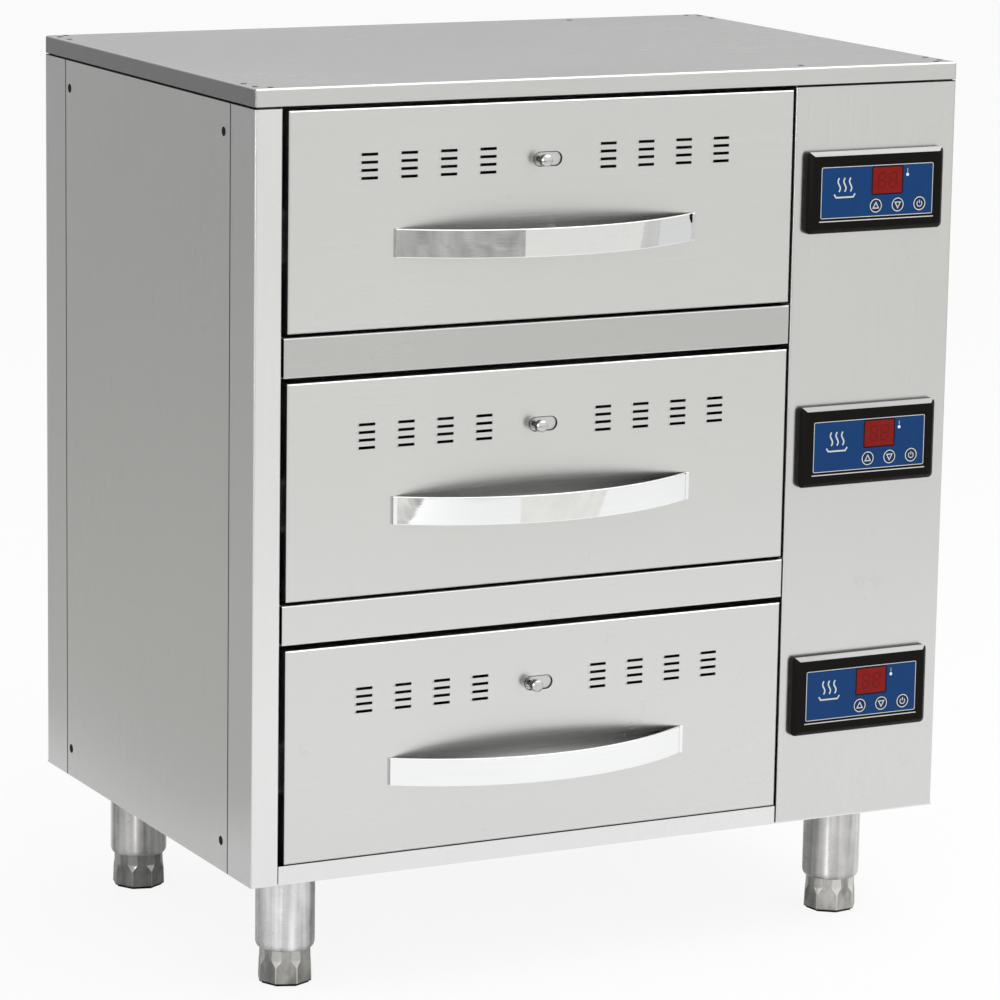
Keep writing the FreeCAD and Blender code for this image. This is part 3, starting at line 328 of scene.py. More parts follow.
@dataclass(frozen=True)
class PolishedChrome:
    """Mirror plating with hairline scratches, faint waves and finger haze; it can carry painted shade on its back and
    on its sides.
    """

    name: str
    colour: Colour
    roughness: float = 0.022
    back_painted_shade: float = 0.0
    side_painted_shade: float = 0.0

    def build(self) -> bpy.types.Material:
        """Return the material."""
        graph = Graph(self.name)
        hair = graph.noise((14.0, 14.0, 700.0), 1.0, 2.0)
        haze = graph.noise(EVEN, 16.0, 3.0)
        waves = graph.noise((9.0, 9.0, 60.0), 1.0, 1.0)
        colour = graph.blend((hair * 0.6 + haze * 0.4).clamped(), tinted(self.colour, 0.94), tinted(self.colour, 1.04))
        facing = graph.node("ShaderNodeNewGeometry", output="Normal")
        facing = graph.node("ShaderNodeSeparateXYZ", None, {0: facing}, Axis.Y.value)
        # Painted shade: faces turned back towards the panel, and the round sides, go towards black.
        if self.back_painted_shade:
            colour = graph.blend(facing.ramp(0.2, 0.5) * self.back_painted_shade, colour, SHADE_BLACK)
        if self.side_painted_shade:
            aside = 1.0 - abs(facing).ramp(0.5, 0.8)
            colour = graph.blend(aside * self.side_painted_shade, colour, SHADE_BLACK)
        rough = self.roughness + haze.ramp(0.5, 0.8) * 0.05 + hair.ramp(0.6, 0.8) * 0.05
        normal = graph.bump(waves + hair * 0.12, 0.00006, 0.3)
        return graph.finish(base_color=colour, metallic=1.0, roughness=rough, normal=normal)


@dataclass(frozen=True)
class TurnedSteel:
    """Turned and lightly polished stainless: rings round the piece, long soft streaks that are partly polishing marks
    and partly painted reflections, and small pits.
    """

    name: str
    colour: Colour
    roughness: float = 0.28
    streak: float = 2.0
    stretch: float = 0.9

    def build(self) -> bpy.types.Material:
        """Return the material."""
        graph = Graph(self.name)
        rings = graph.noise((6.0, 6.0, 900.0), 1.0, 2.0)
        streaks = graph.noise((95.0, 95.0, 4.0), 1.0, 2.0)
        pits = graph.noise(EVEN, 300.0, 1.0).ramp(0.72, 0.8)
        clouds = graph.noise(EVEN, 45.0, 3.0)
        # Painted reflection: the strong streaks stand in for the upright bright and dark reflections on the legs, over
        # their polishing marks.
        tone = 0.5 + (streaks - 0.5) * self.streak + (clouds - 0.5) * 0.7 + (rings - 0.5) * 0.08 - pits * 0.4
        colour = graph.blend(tone.clamped(), tinted(self.colour, 0.45), tinted(self.colour, 1.35))
        rough = self.roughness + (clouds - 0.5) * 0.16 + (rings - 0.5) * 0.04
        normal = graph.bump(rings * 0.12 + streaks * 0.4 - pits, 0.00005, 0.2)
        return graph.finish(
            base_color=colour, metallic=1.0, roughness=rough, normal=normal, anisotropic=self.stretch,
            anisotropic_rotation=0.25
        )


@dataclass(frozen=True)
class MilledFoot:
    """Cast foot: dull flats, painted highlights on the strips where the round surface is left between them, and a
    painted shadow line along its lower rim.
    """

    name: str
    colour: Colour
    turn: float
    base: float
    flats: int = 8

    def build(self) -> bpy.types.Material:
        """Return the material.

        The normal's heading, counted in flats, has a fraction of a half on every flat and other fractions on the
        round surface.
        """
        graph = Graph(self.name)
        normal = graph.node("ShaderNodeNewGeometry", output="Normal")
        x, y = (graph.node("ShaderNodeSeparateXYZ", None, {0: normal}, axis.value) for axis in (Axis.X, Axis.Y))
        heading = graph.node("ShaderNodeMath", {"operation": "ARCTAN2"}, {0: y, 1: x})
        count = (heading / (2.0 * math.pi) + (1.0 - self.turn / 360.0)) * self.flats + 0.5
        share = graph.node("ShaderNodeMath", {"operation": "FRACT"}, {0: count})
        # Painted highlight on the round surface between the flats.
        painted_highlight = abs(share - 0.5).ramp(0.05, 0.12)
        # Painted shadow line along the lower rim, just above the pad.
        rim = 1.0 - graph.along(Axis.Z).ramp(self.base + 0.0004, self.base + 0.0012)
        clouds = graph.noise((1.0, 1.0, 0.5), 70.0, 3.0, 0.6)
        scuffs = graph.noise((300.0, 300.0, 40.0), 1.0, 2.0)
        dull = graph.blend(clouds.ramp(0.25, 0.75), tinted(self.colour, 0.6), tinted(self.colour, 1.35))
        colour = graph.blend(painted_highlight, dull, tinted(self.colour, 1.5))
        colour = graph.blend(rim * 0.9, colour, BLACK)
        rough = 0.3 - painted_highlight * 0.1 + (scuffs - 0.5) * 0.1
        return graph.finish(
            base_color=colour, metallic=1.0, roughness=rough, normal=graph.bump(scuffs + clouds, 0.00004, 0.2)
        )


@dataclass(frozen=True)
class ZincPlate:
    """Bright zinc plating: small crystals with a faint blue cast and rolling lines."""

    name: str
    colour: Colour

    def build(self) -> bpy.types.Material:
        """Return the material."""
        graph = Graph(self.name)
        sockets = {"Vector": graph.place(), "Scale": 220.0}
        crystals = graph.node("ShaderNodeTexVoronoi", {"feature": "F1"}, sockets, "Distance")
        lines = graph.noise((300.0, 4.0, 300.0), 1.0, 2.0)
        tone = (0.35 + crystals * 0.5 + (lines - 0.5) * 0.5).clamped()
        colour = graph.blend(tone, tinted(self.colour, 0.8), tinted(self.colour, 1.15))
        rough = 0.3 + crystals * 0.16
        return graph.finish(base_color=colour, metallic=1.0, roughness=rough, normal=graph.bump(lines, 0.00004, 0.3))


@dataclass(frozen=True)
class HeatedSheath:
    """Annealed sheath of a heating element, straw and blue where it has been hot."""

    name: str
    colour: Colour

    def build(self) -> bpy.types.Material:
        """Return the material."""
        graph = Graph(self.name)
        clouds = graph.noise(EVEN, 24.0, 4.0, 0.6)
        straw, blue = (0.33, 0.26, 0.17), (0.2, 0.2, 0.28)
        stops = [(0.3, tinted(self.colour, 0.7)), (0.5, self.colour), (0.62, straw), (0.8, blue)]
        colour = graph.node("ShaderNodeValToRGB", {"stops": stops}, {0: clouds})
        normal = graph.bump(graph.noise((60.0, 400.0, 400.0), 1.0, 3.0), 0.00008, 0.4)
        return graph.finish(base_color=colour, metallic=0.9, roughness=0.42 + clouds * 0.15, normal=normal)


@dataclass(frozen=True)
class Moulding:
    """Moulded plastic or rubber with a fine grain, dust in its pores and slightly worn gloss."""

    name: str
    colour: Colour
    roughness: float
    grain: float = 900.0
    depth: float = 0.00003
    shine: float = 0.5

    def build(self) -> bpy.types.Material:
        """Return the material."""
        graph = Graph(self.name)
        grain = graph.noise(EVEN, self.grain, 2.0)
        clouds = graph.noise(EVEN, 60.0, 3.0)
        tone = (0.5 + (grain - 0.5) * 0.7 + (clouds - 0.5) * 0.5).clamped()
        colour = graph.blend(tone, tinted(self.colour, 0.8), tinted(self.colour, 1.25))
        rough = self.roughness + (clouds - 0.5) * 0.12 + (grain - 0.5) * 0.08
        normal = graph.bump(grain, self.depth, 0.35)
        return graph.finish(base_color=colour, roughness=rough, normal=normal, specular_ior_level=self.shine)


@dataclass(frozen=True)
class PrintedFilm:
    """Polyester film printed from behind, with a fine emboss and a satin top."""

    name: str
    colour: Colour
    roughness: float = 0.34

    def build(self) -> bpy.types.Material:
        """Return the material."""
        graph = Graph(self.name)
        emboss = graph.noise(EVEN, 1400.0, 1.0)
        clouds = graph.noise(EVEN, 70.0, 3.0)
        tone = (0.5 + (emboss - 0.5) * 0.4 + (clouds - 0.5) * 0.6).clamped()
        colour = graph.blend(tone, tinted(self.colour, 0.88), tinted(self.colour, 1.12))
        rough = self.roughness + (clouds - 0.5) * 0.1
        normal = graph.bump(emboss, 0.00002, 0.3)
        return graph.finish(base_color=colour, roughness=rough, normal=normal, specular_ior_level=0.12)


@dataclass(frozen=True)
class TintedWindow:
    """Tinted acrylic over a display, with a dim glow; on the display's window and digits the glow is painted light."""

    name: str
    colour: Colour
    glow: float

    def build(self) -> bpy.types.Material:
        """Return the material."""
        graph = Graph(self.name)
        clouds = graph.noise(EVEN, 150.0, 3.0)
        dots = graph.noise(EVEN, 900.0, 1.0)
        tone = (0.5 + (clouds - 0.5) * 0.9 + (dots - 0.5) * 0.3).clamped()
        colour = graph.blend(tone, tinted(self.colour, 0.8), tinted(self.colour, 1.15))
        rough = 0.22 + clouds * 0.1
        return graph.finish(
            base_color=colour, roughness=rough, emission_color=colour, emission_strength=self.glow,
            specular_ior_level=0.15
        )


# --- shapes -------------------------------------------------------------------------------------------


@dataclass
class Shape:
    """Points and faces of a piece before they go into a mesh."""

    points: Array
    faces: list[list[int]]

    def __add__(self, other: "Shape") -> "Shape":
        """Return both shapes as one.

        Args:
            other: the second shape.

        Returns:
            The shape that holds both, with the second one's faces counted on.
        """
        shift = len(self.points)
        faces = self.faces + [[index + shift for index in face] for face in other.faces]
        return Shape(np.vstack([self.points, other.points]), faces)

    def moved(self, x: float = 0.0, y: float = 0.0, z: float = 0.0) -> "Shape":
        """Return the shape shifted by metres."""
        return Shape(self.points + np.array([x, y, z]), self.faces)

    def turned(self, axis: Axis, degrees: float) -> "Shape":
        """Return the shape turned about an axis through the origin."""
        turn = np.array(Matrix.Rotation(math.radians(degrees), 3, axis.name))
        return Shape(self.points @ turn.T, self.faces)

    def build(self, name: str, material: bpy.types.Material, smooth_below: float = 35.0) -> bpy.types.Object:
        """Put the shape into a mesh whose faces point outwards.

        Args:
            name: the piece's name.
            material: its finish.
            smooth_below: edges that bend less than this angle in degrees are shaded smooth.

        Returns:
            The piece, at the origin.
        """
        mesh = bpy.data.meshes.new(name)
        mesh.from_pydata(self.points, [], self.faces)
        shell = bmesh.new()
        shell.from_mesh(mesh)
        bmesh.ops.recalc_face_normals(shell, faces=shell.faces)
        shell.to_mesh(mesh)
        shell.free()
        mesh.shade_smooth()
        mesh.set_sharp_from_angle(angle=math.radians(smooth_below))
        mesh.materials.append(material)
        piece = bpy.data.objects.new(name, mesh)
        bpy.context.scene.collection.objects.link(piece)
        return piece


def grid(points: Array, closed_rows: bool, closed_columns: bool, capped: bool = True) -> Shape:
    """Join a table of points into a surface: each point with its neighbours in the row and the column.

    Args:
        points: rows by columns by three.
        closed_rows: the last row joins the first.
        closed_columns: the last column joins the first.
        capped: the first and last row are filled, where the rows are open.

    Returns:
        The surface.
    """
    rows, columns = points.shape[:2]
    index = np.arange(rows * columns).reshape(rows, columns)
    right = np.roll(index, -1, axis=1)
    below = np.roll(index, -1, axis=0)
    corner = np.roll(below, -1, axis=1)
    quads = np.stack([index, right, corner, below], axis=-1)
    quads = quads[: rows if closed_rows else rows - 1, : columns if closed_columns else columns - 1]
    faces = quads.reshape(-1, 4).tolist()
    if capped and not closed_rows:
        faces.append(index[0][::-1].tolist())
        faces.append(index[-1].tolist())
    return Shape(points.reshape(-1, 3), faces)


def lathe(profile: Sequence[Flat], sides: int = 48) -> Shape:
    """Turn a profile about Z: x = r cos a, y = r sin a, z = h.

    Args:
        profile: pairs of radius and height.
        sides: points round the circle.

    Returns:
        The surface, closed at both ends.
    """
    radius, height = np.array(profile, dtype=float).T
    angle = np.linspace(0.0, 2.0 * math.pi, sides, endpoint=False)
    x = radius[:, None] * np.cos(angle)
    y = radius[:, None] * np.sin(angle)
    z = np.broadcast_to(height[:, None], x.shape)
    return grid(np.stack([x, y, z], axis=-1), False, True)


def arc(centre: Flat, radius: float, start: float, end: float, steps: int) -> Array:
    """Return points on a circle between two angles in degrees."""
    angle = np.radians(np.linspace(start, end, steps))
    return np.stack([centre[0] + radius * np.cos(angle), centre[1] + radius * np.sin(angle)], axis=-1)


def rounded(width: float, height: float, radius: float, steps: int = 7, guard: float = 0.0) -> Array:
    """Return a rectangle about the origin with four quarter circles for corners.

    Args:
        width: its size in the first direction.
        height: its size in the second direction.
        radius: the corners' radius.
        steps: points to a corner.
        guard: how far along each straight side a further point stands, which keeps the side's shading flat.

    Returns:
        The points, counter-clockwise.
    """
    across, up = width / 2 - radius, height / 2 - radius
    corners = ((across, up, 0.0), (-across, up, 90.0), (-across, -up, 180.0), (across, -up, 270.0))
    pieces = []
    for x, z, start in corners:
        bend = arc((x, z), radius, start, start + 90.0, steps)
        if guard:
            along = guard * np.array([[math.cos(math.radians(start)), math.sin(math.radians(start))]])
            ahead = along[:, ::-1] * (-1.0, 1.0)
            bend = np.vstack([bend[:1] - ahead, bend, bend[-1:] - along])
        pieces.append(bend)
    return np.vstack(pieces)


def stroke(path: Array, width: float, depth: float, closed: bool = False) -> Shape:
    """Draw a line of ink in the XZ plane: the path moved half a width to both sides, with mitred corners.

    Args:
        path: its points in X and Z.
        width: the line's width.
        depth: how far it stands towards -Y.
        closed: the line ends where it starts.

    Returns:
        A flat bar along the path.
    """
    ahead = np.roll(path, -1, axis=0) - path
    behind = path - np.roll(path, 1, axis=0)
    if not closed:
        ahead[-1] = behind[-1]
        behind[0] = ahead[0]
    ahead /= np.linalg.norm(ahead, axis=1, keepdims=True)
    behind /= np.linalg.norm(behind, axis=1, keepdims=True)
    middle = ahead + behind
    middle /= np.linalg.norm(middle, axis=1, keepdims=True)
    normal = np.stack([-middle[:, 1], middle[:, 0]], axis=-1)
    mitre = 1.0 / np.maximum(np.sum(middle * ahead, axis=1, keepdims=True), 0.35)
    reach = normal * mitre * width / 2
    corners = []
    for side, y in ((1.0, 0.0), (1.0, -depth), (-1.0, -depth), (-1.0, 0.0)):
        flat = path + side * reach
        corners.append(np.stack([flat[:, 0], np.full(len(flat), y), flat[:, 1]], axis=-1))
    return grid(np.stack(corners, axis=1), closed, True)


def sum_shapes(shapes: Sequence[Shape]) -> Shape:
    """Return several shapes as one."""
    return sum(shapes[1:], shapes[0])


# --- sub-assemblies -----------------------------------------------------------------------------------


@dataclass
class Casing:
    """The folded cabinet: its finishes, and the screws and plugs that hold it together."""

    width: float = 0.7
    front: float = -0.225
    back: float = 0.255
    top: float = 0.8105
    base: float = 0.1105
    skirt: float = 0.016
    partition: float = 0.195
    screw_near: float = 0.0078
    screw_mid: float = 0.0175
    screw_far: float = 0.0418
    screw_radius: float = 0.0032
    screw_proud: float = 0.0003
    plug_radius: float = 0.0042
    plug_proud: float = 0.0001
    plug_places: tuple[float, float] = (-0.1595, 0.194)
    plug_rise: float = 0.0272

    def dress(self, dresser: "Dresser") -> None:
        """Give the casing's nodes their finishes.

        Args:
            dresser: the finishes and the part's solids.
        """
        dresser.paint(dresser.cover, "top_cover")
        dresser.paint(dresser.side, "left_side_panel", "right_side_panel", "left_liner")
        dresser.paint(dresser.post, "front_left_post", "rear_posts", "base_panel")
        dresser.paint(dresser.fascia, "control_fascia")
        dresser.paint(dresser.sheet, "back_panel", "partition_wall", "chamber_shelves")
        dresser.paint(dresser.rail, "mid_front_rails")

    def screw_places(self) -> Array:
        """Return the cover's screws: three in an L at each corner, and two over the partition."""
        near, mid, far = self.screw_near, self.screw_mid, self.screw_far
        inner = np.array([(near, mid), (mid, near), (near, far)])
        corners = np.array([(way, deep) for way in (1.0, -1.0) for deep in (1.0, -1.0)])
        starts = [(-way * self.width / 2, self.front if deep > 0 else self.back) for way, deep in corners]
        places = [start + corner * inner for start, corner in zip(starts, corners)]
        places.append(np.array([(self.partition, self.front + mid), (self.partition, self.back - mid)]))
        return np.vstack(places)

    def screw(self) -> Shape:
        """Return the head of a screw about Z, a low dome with a recess."""
        radius, proud, sunk = self.screw_radius, self.screw_proud, -0.0001
        profile = [(0.4, sunk), (1.0, sunk), (0.85, proud - 0.00005), (0.4, proud), (0.3, 0.0001)]
        return lathe([(radius * share, height) for share, height in profile], 20)

    def plug(self) -> Shape:
        """Return a plug about Z, a flat disc with an eased rim."""
        profile = [(1.0, -0.0006), (1.0, self.plug_proud / 2), (0.8, self.plug_proud), (0.2, self.plug_proud)]
        return lathe([(self.plug_radius * share, height) for share, height in profile], 28)

    def build(self, dresser: "Dresser") -> None:
        """Make the screws in the cover and the plugs in the side panels.

        Args:
            dresser: the finishes and the part's bodies.
        """
        screws = sum_shapes([self.screw().moved(x, y, self.top) for x, y in self.screw_places()])
        dresser.add(screws.build("cover_screws", dresser.dark_screw), "cabinet", "black_plastic")
        heights = (self.base + self.plug_rise, self.top - self.skirt - self.plug_rise)
        plugs = []
        for way in (-1.0, 1.0):
            plug = self.plug().turned(Axis.Y, way * 90.0)
            plugs += [plug.moved(way * self.width / 2, y, z) for y in self.plug_places for z in heights]
        dresser.add(sum_shapes(plugs).build("side_panel_plugs", dresser.rubber), "cabinet", "black_plastic")


@dataclass
class Drawer:
    """One drawer: its front, box and slides, a polished bow handle and the knob of its vents."""

    name: str
    bottom: float
    middle: float = -0.07135
    face: float = -0.228
    height: float = 0.1915
    handle_drop: float = 0.1176
    handle_length: float = 0.296
    handle_height: float = 0.025
    handle_band: float = 0.003
    handle_edge: float = 0.0006
    handle_guard: float = 0.0004
    handle_reach: float = 0.045
    handle_land: float = 0.0032
    handle_bend: float = 0.003
    handle_lean: float = 18.0
    knob_side: float = -0.00755
    knob_drop: float = 0.051
    knob_reach: float = 0.015
    knob_radius: float = 0.0055
    knob_crown: float = 0.0016
    knob_round: float = 1.2
    track: Flat = (0.0283, 0.0132)
    track_lip: float = 0.0006
    track_depth: float = 0.00055
    track_set_in: float = 0.0006

    def dress(self, dresser: "Dresser") -> None:
        """Give the drawer's nodes their finishes.

        Args:
            dresser: the finishes and the part's solids.
        """
        dresser.paint(dresser.front, self.name + "_drawer_front")
        dresser.paint(dresser.box, self.name + "_drawer_box")
        dresser.paint(dresser.sheet, self.name + "_vent_shutter")
        dresser.paint(dresser.zinc, self.name + "_slide_drawer_members", self.name + "_slide_middle_members")

    def bow(self) -> Array:
        """Return the handle's middle line from above.

        The line's heading leans a little along the land, turns evenly through a short bend, turns back evenly along
        the bow and does the same on the other side. Its points are the running sum of the heading's cosine and sine.
        """
        start = math.radians(self.handle_lean)
        rise = self.handle_reach - self.handle_band - self.handle_land * math.sin(start)
        run = self.handle_length / 2 - self.handle_land * math.cos(start)
        lean = 2.0 * math.atan(rise / run)
        bow_radius = run / math.sin(lean) - self.handle_bend
        bend = self.handle_bend * (lean - start)
        stretches = ((self.handle_land, -start, -start, 6), (bend, -start, -lean, 14),
                     (2.0 * bow_radius * lean, -lean, lean, 96), (bend, lean, start, 14),
                     (self.handle_land, start, start, 6))
        points = [np.zeros((1, 2))]
        for length, first, last, steps in stretches:
            heading = first + (last - first) * (np.arange(steps) + 0.5) / steps
            step = np.stack([np.cos(heading), np.sin(heading)], axis=-1) * length / steps
            points.append(points[-1][-1] + np.cumsum(step, axis=0))
        line = np.vstack(points)
        return line - np.array([line[-1, 0] / 2, self.handle_band / 2])

    def handle(self) -> Shape:
        """Return the handle: an upright rectangle with eased edges, carried square to the bow's line."""
        line = self.bow()
        heading = np.gradient(line, axis=0)
        heading /= np.linalg.norm(heading, axis=1, keepdims=True)
        outward = np.stack([-heading[:, 1], heading[:, 0]], axis=-1)
        section = rounded(self.handle_band, self.handle_height, self.handle_edge, 4, self.handle_guard)
        flat = line[:, None, :] + outward[:, None, :] * section[None, :, :1]
        height = np.broadcast_to(section[None, :, 1], flat.shape[:2])
        return grid(np.concatenate([flat, height[:, :, None]], axis=-1), False, True)

    def track_shadow_line(self) -> Shape:
        """Return the painted shadow line in the knob's slot: a black line that runs round it, half its width inside.
        """
        wide, high = (size - self.track_lip for size in self.track)
        edge = rounded(wide, high, high / 2 - 0.0001, 12)
        return stroke(edge, self.track_lip, self.track_depth, True)

    def knob(self) -> Shape:
        """Return the knob about Z: a nut behind, a shank, a collar and a head with a shallow dome.

        The dome's radius goes with the sine of an angle and its height with one minus the cosine.
        """
        rim = 1.0 - math.cos(self.knob_round)
        dome = [(self.knob_radius * math.sin(a), self.knob_reach - self.knob_crown * (1.0 - math.cos(a)) / rim)
                for a in np.linspace(self.knob_round, 0.08, 10)]
        nut = [(0.0004, -0.0063), (0.0052, -0.0063), (0.0052, -0.0024)]
        shank = [(0.0026, -0.0024), (0.0026, 0.0068)]
        collar = [(0.0044, 0.0072), (0.0054, 0.0078), (0.0054, 0.0132)]
        return lathe(nut + shank + collar + dome, 40)

    def build(self, dresser: "Dresser") -> None:
        """Make the handle, the knob and the painted shadow line round its slot.

        Args:
            dresser: the finishes and the part's bodies.
        """
        body = self.name + "_drawer"
        top = self.bottom + self.height
        handle = self.handle().moved(self.middle, self.face, top - self.handle_drop)
        handle = handle.build(self.name + "_bow_handle", dresser.chrome, 30.0)
        dresser.add(handle, body, "chrome", body + "_handle")
        knob = self.knob().turned(Axis.X, 90.0)
        knob = knob.moved(self.middle + self.knob_side, self.face, top - self.knob_drop)
        knob = knob.build(self.name + "_shutter_knob", dresser.knob, 40.0)
        dresser.add(knob, self.name + "_shutter", "chrome", self.name + "_vent_knob")
        # Painted shadow: a black line round the slot's edge.
        liner = self.track_shadow_line().moved(self.middle, self.face + self.track_set_in, top - self.knob_drop)
        dresser.add(liner.build(self.name + "_track_liner", dresser.black), body, "black_plastic")


@dataclass
class Controller:
    """One temperature controller: bezel, overlay with its print, display, lamp and push buttons."""

    name: str
    height: float
    middle: float = 0.2634
    front: float = -0.225
    depth: float = 0.009
    width: float = 0.144
    tall: float = 0.0745
    bevel: float = 0.0042
    corner: float = 0.0045
    recess: float = 0.0011
    label: Flat = (0.1184, 0.0468)
    label_gap: float = 0.0002
    display: Flat = (0.0317, 0.0244)
    display_place: Flat = (0.0106, 0.0092)
    digit_size: Flat = (0.0072, 0.0132)
    digit_side: float = 0.0058
    digit_slant: float = 0.08
    button_side: float = 0.0222
    button_drop: float = 0.0137
    button_pitch: float = 0.02325
    button_radius: float = 0.0066
    lamp_place: Flat = (0.0318, 0.0134)
    ink: float = 0.00005
    thick_ink: float = 0.00006
    ink_lift: float = 0.00002

    def place(self, shape: Shape, proud: float = 0.0) -> Shape:
        """Return a shape drawn about the controller's middle, set on the bezel's front."""
        return shape.moved(self.middle, self.front - self.depth - proud, self.height)

    def bezel(self) -> Shape:
        """Return the bezel: rounded rectangles, one after another, from the fascia up to the rim and into the recess.

        Each ring is a rounded rectangle that has been drawn in by a distance and stands at a depth.
        """
        bevel, ease = self.bevel, 0.0003
        label_in = (self.width - self.label[0]) / 2 - self.label_gap
        tall_in = (self.tall - self.label[1]) / 2 - self.label_gap
        rings = [(0.0, self.depth), (0.0, bevel), (ease, bevel - 2 * ease), (bevel - 0.0004, ease),
                 (bevel + 0.0002, 0.0), (label_in - ease, 0.0), (label_in, ease), (label_in, self.recess)]
        rows = []
        for inset, y in rings:
            up = inset if inset < bevel + ease else tall_in - (label_in - inset)
            radius = max(self.corner - inset * 0.6, 0.0012)
            flat = rounded(self.width - 2 * inset, self.tall - 2 * up, radius)
            rows.append(np.stack([flat[:, 0], np.full(len(flat), y), flat[:, 1]], axis=-1))
        return grid(np.stack(rows), False, True)

    def highlight_strip(self) -> Shape:
        """Return the painted highlight along the upper bevel, a pale metal strip: a sloping bar with mitred ends."""
        bevel, rise = self.bevel, 0.00012
        half, top = self.width / 2 - 0.0018, self.tall / 2
        rows = []
        for x_out, x_in in ((-half, -half + bevel), (half, half - bevel)):
            outer = (x_out, bevel - 0.0004, top - 0.0001)
            inner = (x_in, 0.0003, top - bevel + 0.0002)
            lifted = [(x, y - rise, z + rise) for x, y, z in (inner, outer)]
            rows.append([outer, inner] + lifted)
        return grid(np.array(rows), False, True)

    def window_frame(self) -> Shape:
        """Return the dark rim round the display."""
        wide, high = (size + 0.0006 for size in self.display)
        return stroke(rounded(wide, high, 0.0012) + np.array(self.display_place), 0.0011, self.ink, True)

    def label_print(self) -> Shape:
        """Return the overlay's print: its outline, a rule below it, a tick over the lamp and a sign for warmth.

        The sign is three waves, each one turn of a sine along its height, over a tray's line.
        """
        wide, high = (size / 2 for size in self.label)
        outline = stroke(rounded(2 * wide - 0.0006, 2 * high - 0.0006, 0.0013), 0.0006, self.thick_ink, True)
        rule_side, rule_drop = wide + 0.0012, high + 0.0026
        rule = stroke(np.array([(-rule_side, -rule_drop), (rule_side, -rule_drop)]), 0.0009, self.thick_ink)
        tick = stroke(np.array([(0.0, 0.0022), (0.0, 0.0058)]) + np.array(self.lamp_place), 0.0005, self.ink)
        tray_line = np.array([(-0.0455, -0.0015), (-0.0435, -0.0045), (-0.0255, -0.0045), (-0.0235, -0.0015)])
        sign_width, sway, wave_foot, wave_height = 0.0014, 0.0012, 0.0006, 0.0125
        tray = stroke(tray_line, sign_width, self.thick_ink)
        share = np.linspace(0.0, 1.0, 25)
        wave = np.stack([sway * np.sin(share * 2 * math.pi), wave_foot + share * wave_height], axis=-1)
        waves = [stroke(wave + np.array([x, 0.0]), sign_width, self.thick_ink) for x in (-0.0405, -0.0345, -0.0285)]
        return sum_shapes([outline, rule, tick, tray] + waves)

    def digit(self, side: float) -> Shape:
        """Return the seven bars of a digit.

        Args:
            side: how far it stands from the display's middle.

        Returns:
            The bars, which lean to the right with their height.
        """
        wide, high = (size / 2 for size in self.digit_size)
        inset, gap, bar = 0.0011, 0.0009, 0.0013
        level = [(-wide + inset, z, wide - inset, z) for z in (-high, 0.0, high)]
        upright = [(x, z + gap, x, z + high - gap) for x in (-wide, wide) for z in (-high, 0.0)]
        middle = np.array(self.display_place) + np.array([side, 0.0])
        bars = []
        for x0, z0, x1, z1 in level + upright:
            ends = np.array([(x0 + self.digit_slant * z0, z0), (x1 + self.digit_slant * z1, z1)])
            bars.append(stroke(ends + middle, bar, 0.00004))
        return sum_shapes(bars)

    def symbol(self, kind: Symbol) -> Shape:
        """Return a button's print.

        Args:
            kind: which button it is.

        Returns:
            A ring with an arrow head or the power sign in it.
        """
        line = 0.0009
        ring = stroke(arc((0.0, 0.0), self.button_radius - 0.0007, 0.0, 351.0, 40), line, self.ink, True)
        if kind is Symbol.POWER:
            bow = stroke(arc((0.0, -0.0001), 0.0026, 125.0, 415.0, 30), 0.0008, self.ink)
            return ring + bow + stroke(np.array([(0.0, 0.0003), (0.0, 0.0033)]), 0.0008, self.ink)
        way = 1.0 if kind is Symbol.UP else -1.0
        corners = np.array([(-0.0029, -0.0022 * way), (0.0029, -0.0022 * way), (0.0, 0.0030 * way)])
        return ring + stroke(corners, line, self.ink, True)

    def build_button(self, dresser: "Dresser", kind: Symbol, step: int) -> None:
        """Make one button: its cap, the dark line inside its ring, and its print.

        Args:
            dresser: the finishes and the part's bodies.
            kind: which button it is.
            step: its place in the row, counted from the middle.
        """
        x, z = self.button_side + step * self.button_pitch, -self.button_drop
        node = "%s_%s_button" % (self.name, kind.value)
        radius = self.button_radius
        profile = [(radius, -0.0068), (radius, -0.0001), (radius - 0.0004, 0.0), (radius * 0.5, 0.0), (0.0003, 0.0)]
        cap = self.place(lathe(profile, 40).turned(Axis.X, 90.0).moved(x, 0.0, z))
        dresser.add(cap.build(node + "_cap", dresser.button), node, "button_film", node)
        shade = stroke(arc((0.0, 0.0), radius - 0.0016, 0.0, 351.0, 40), 0.0009, 0.00003, True)
        shade = self.place(shade.moved(x, 0.0, z), self.ink_lift)
        dresser.add(shade.build(node + "_shade", dresser.gloss_black), node, "black_plastic")
        sign = self.place(self.symbol(kind).moved(x, 0.0, z), self.ink_lift)
        dresser.add(sign.build(node + "_sign", dresser.ink), node, "pale_plastic")

    def build(self, dresser: "Dresser") -> None:
        """Make the controller's pieces.

        Args:
            dresser: the finishes and the part's bodies.
        """
        bezel = self.place(self.bezel()).build(self.name + "_controller_bezel", dresser.gloss_black, 25.0)
        dresser.add(bezel, "cabinet", "black_plastic", "controller_bezels")
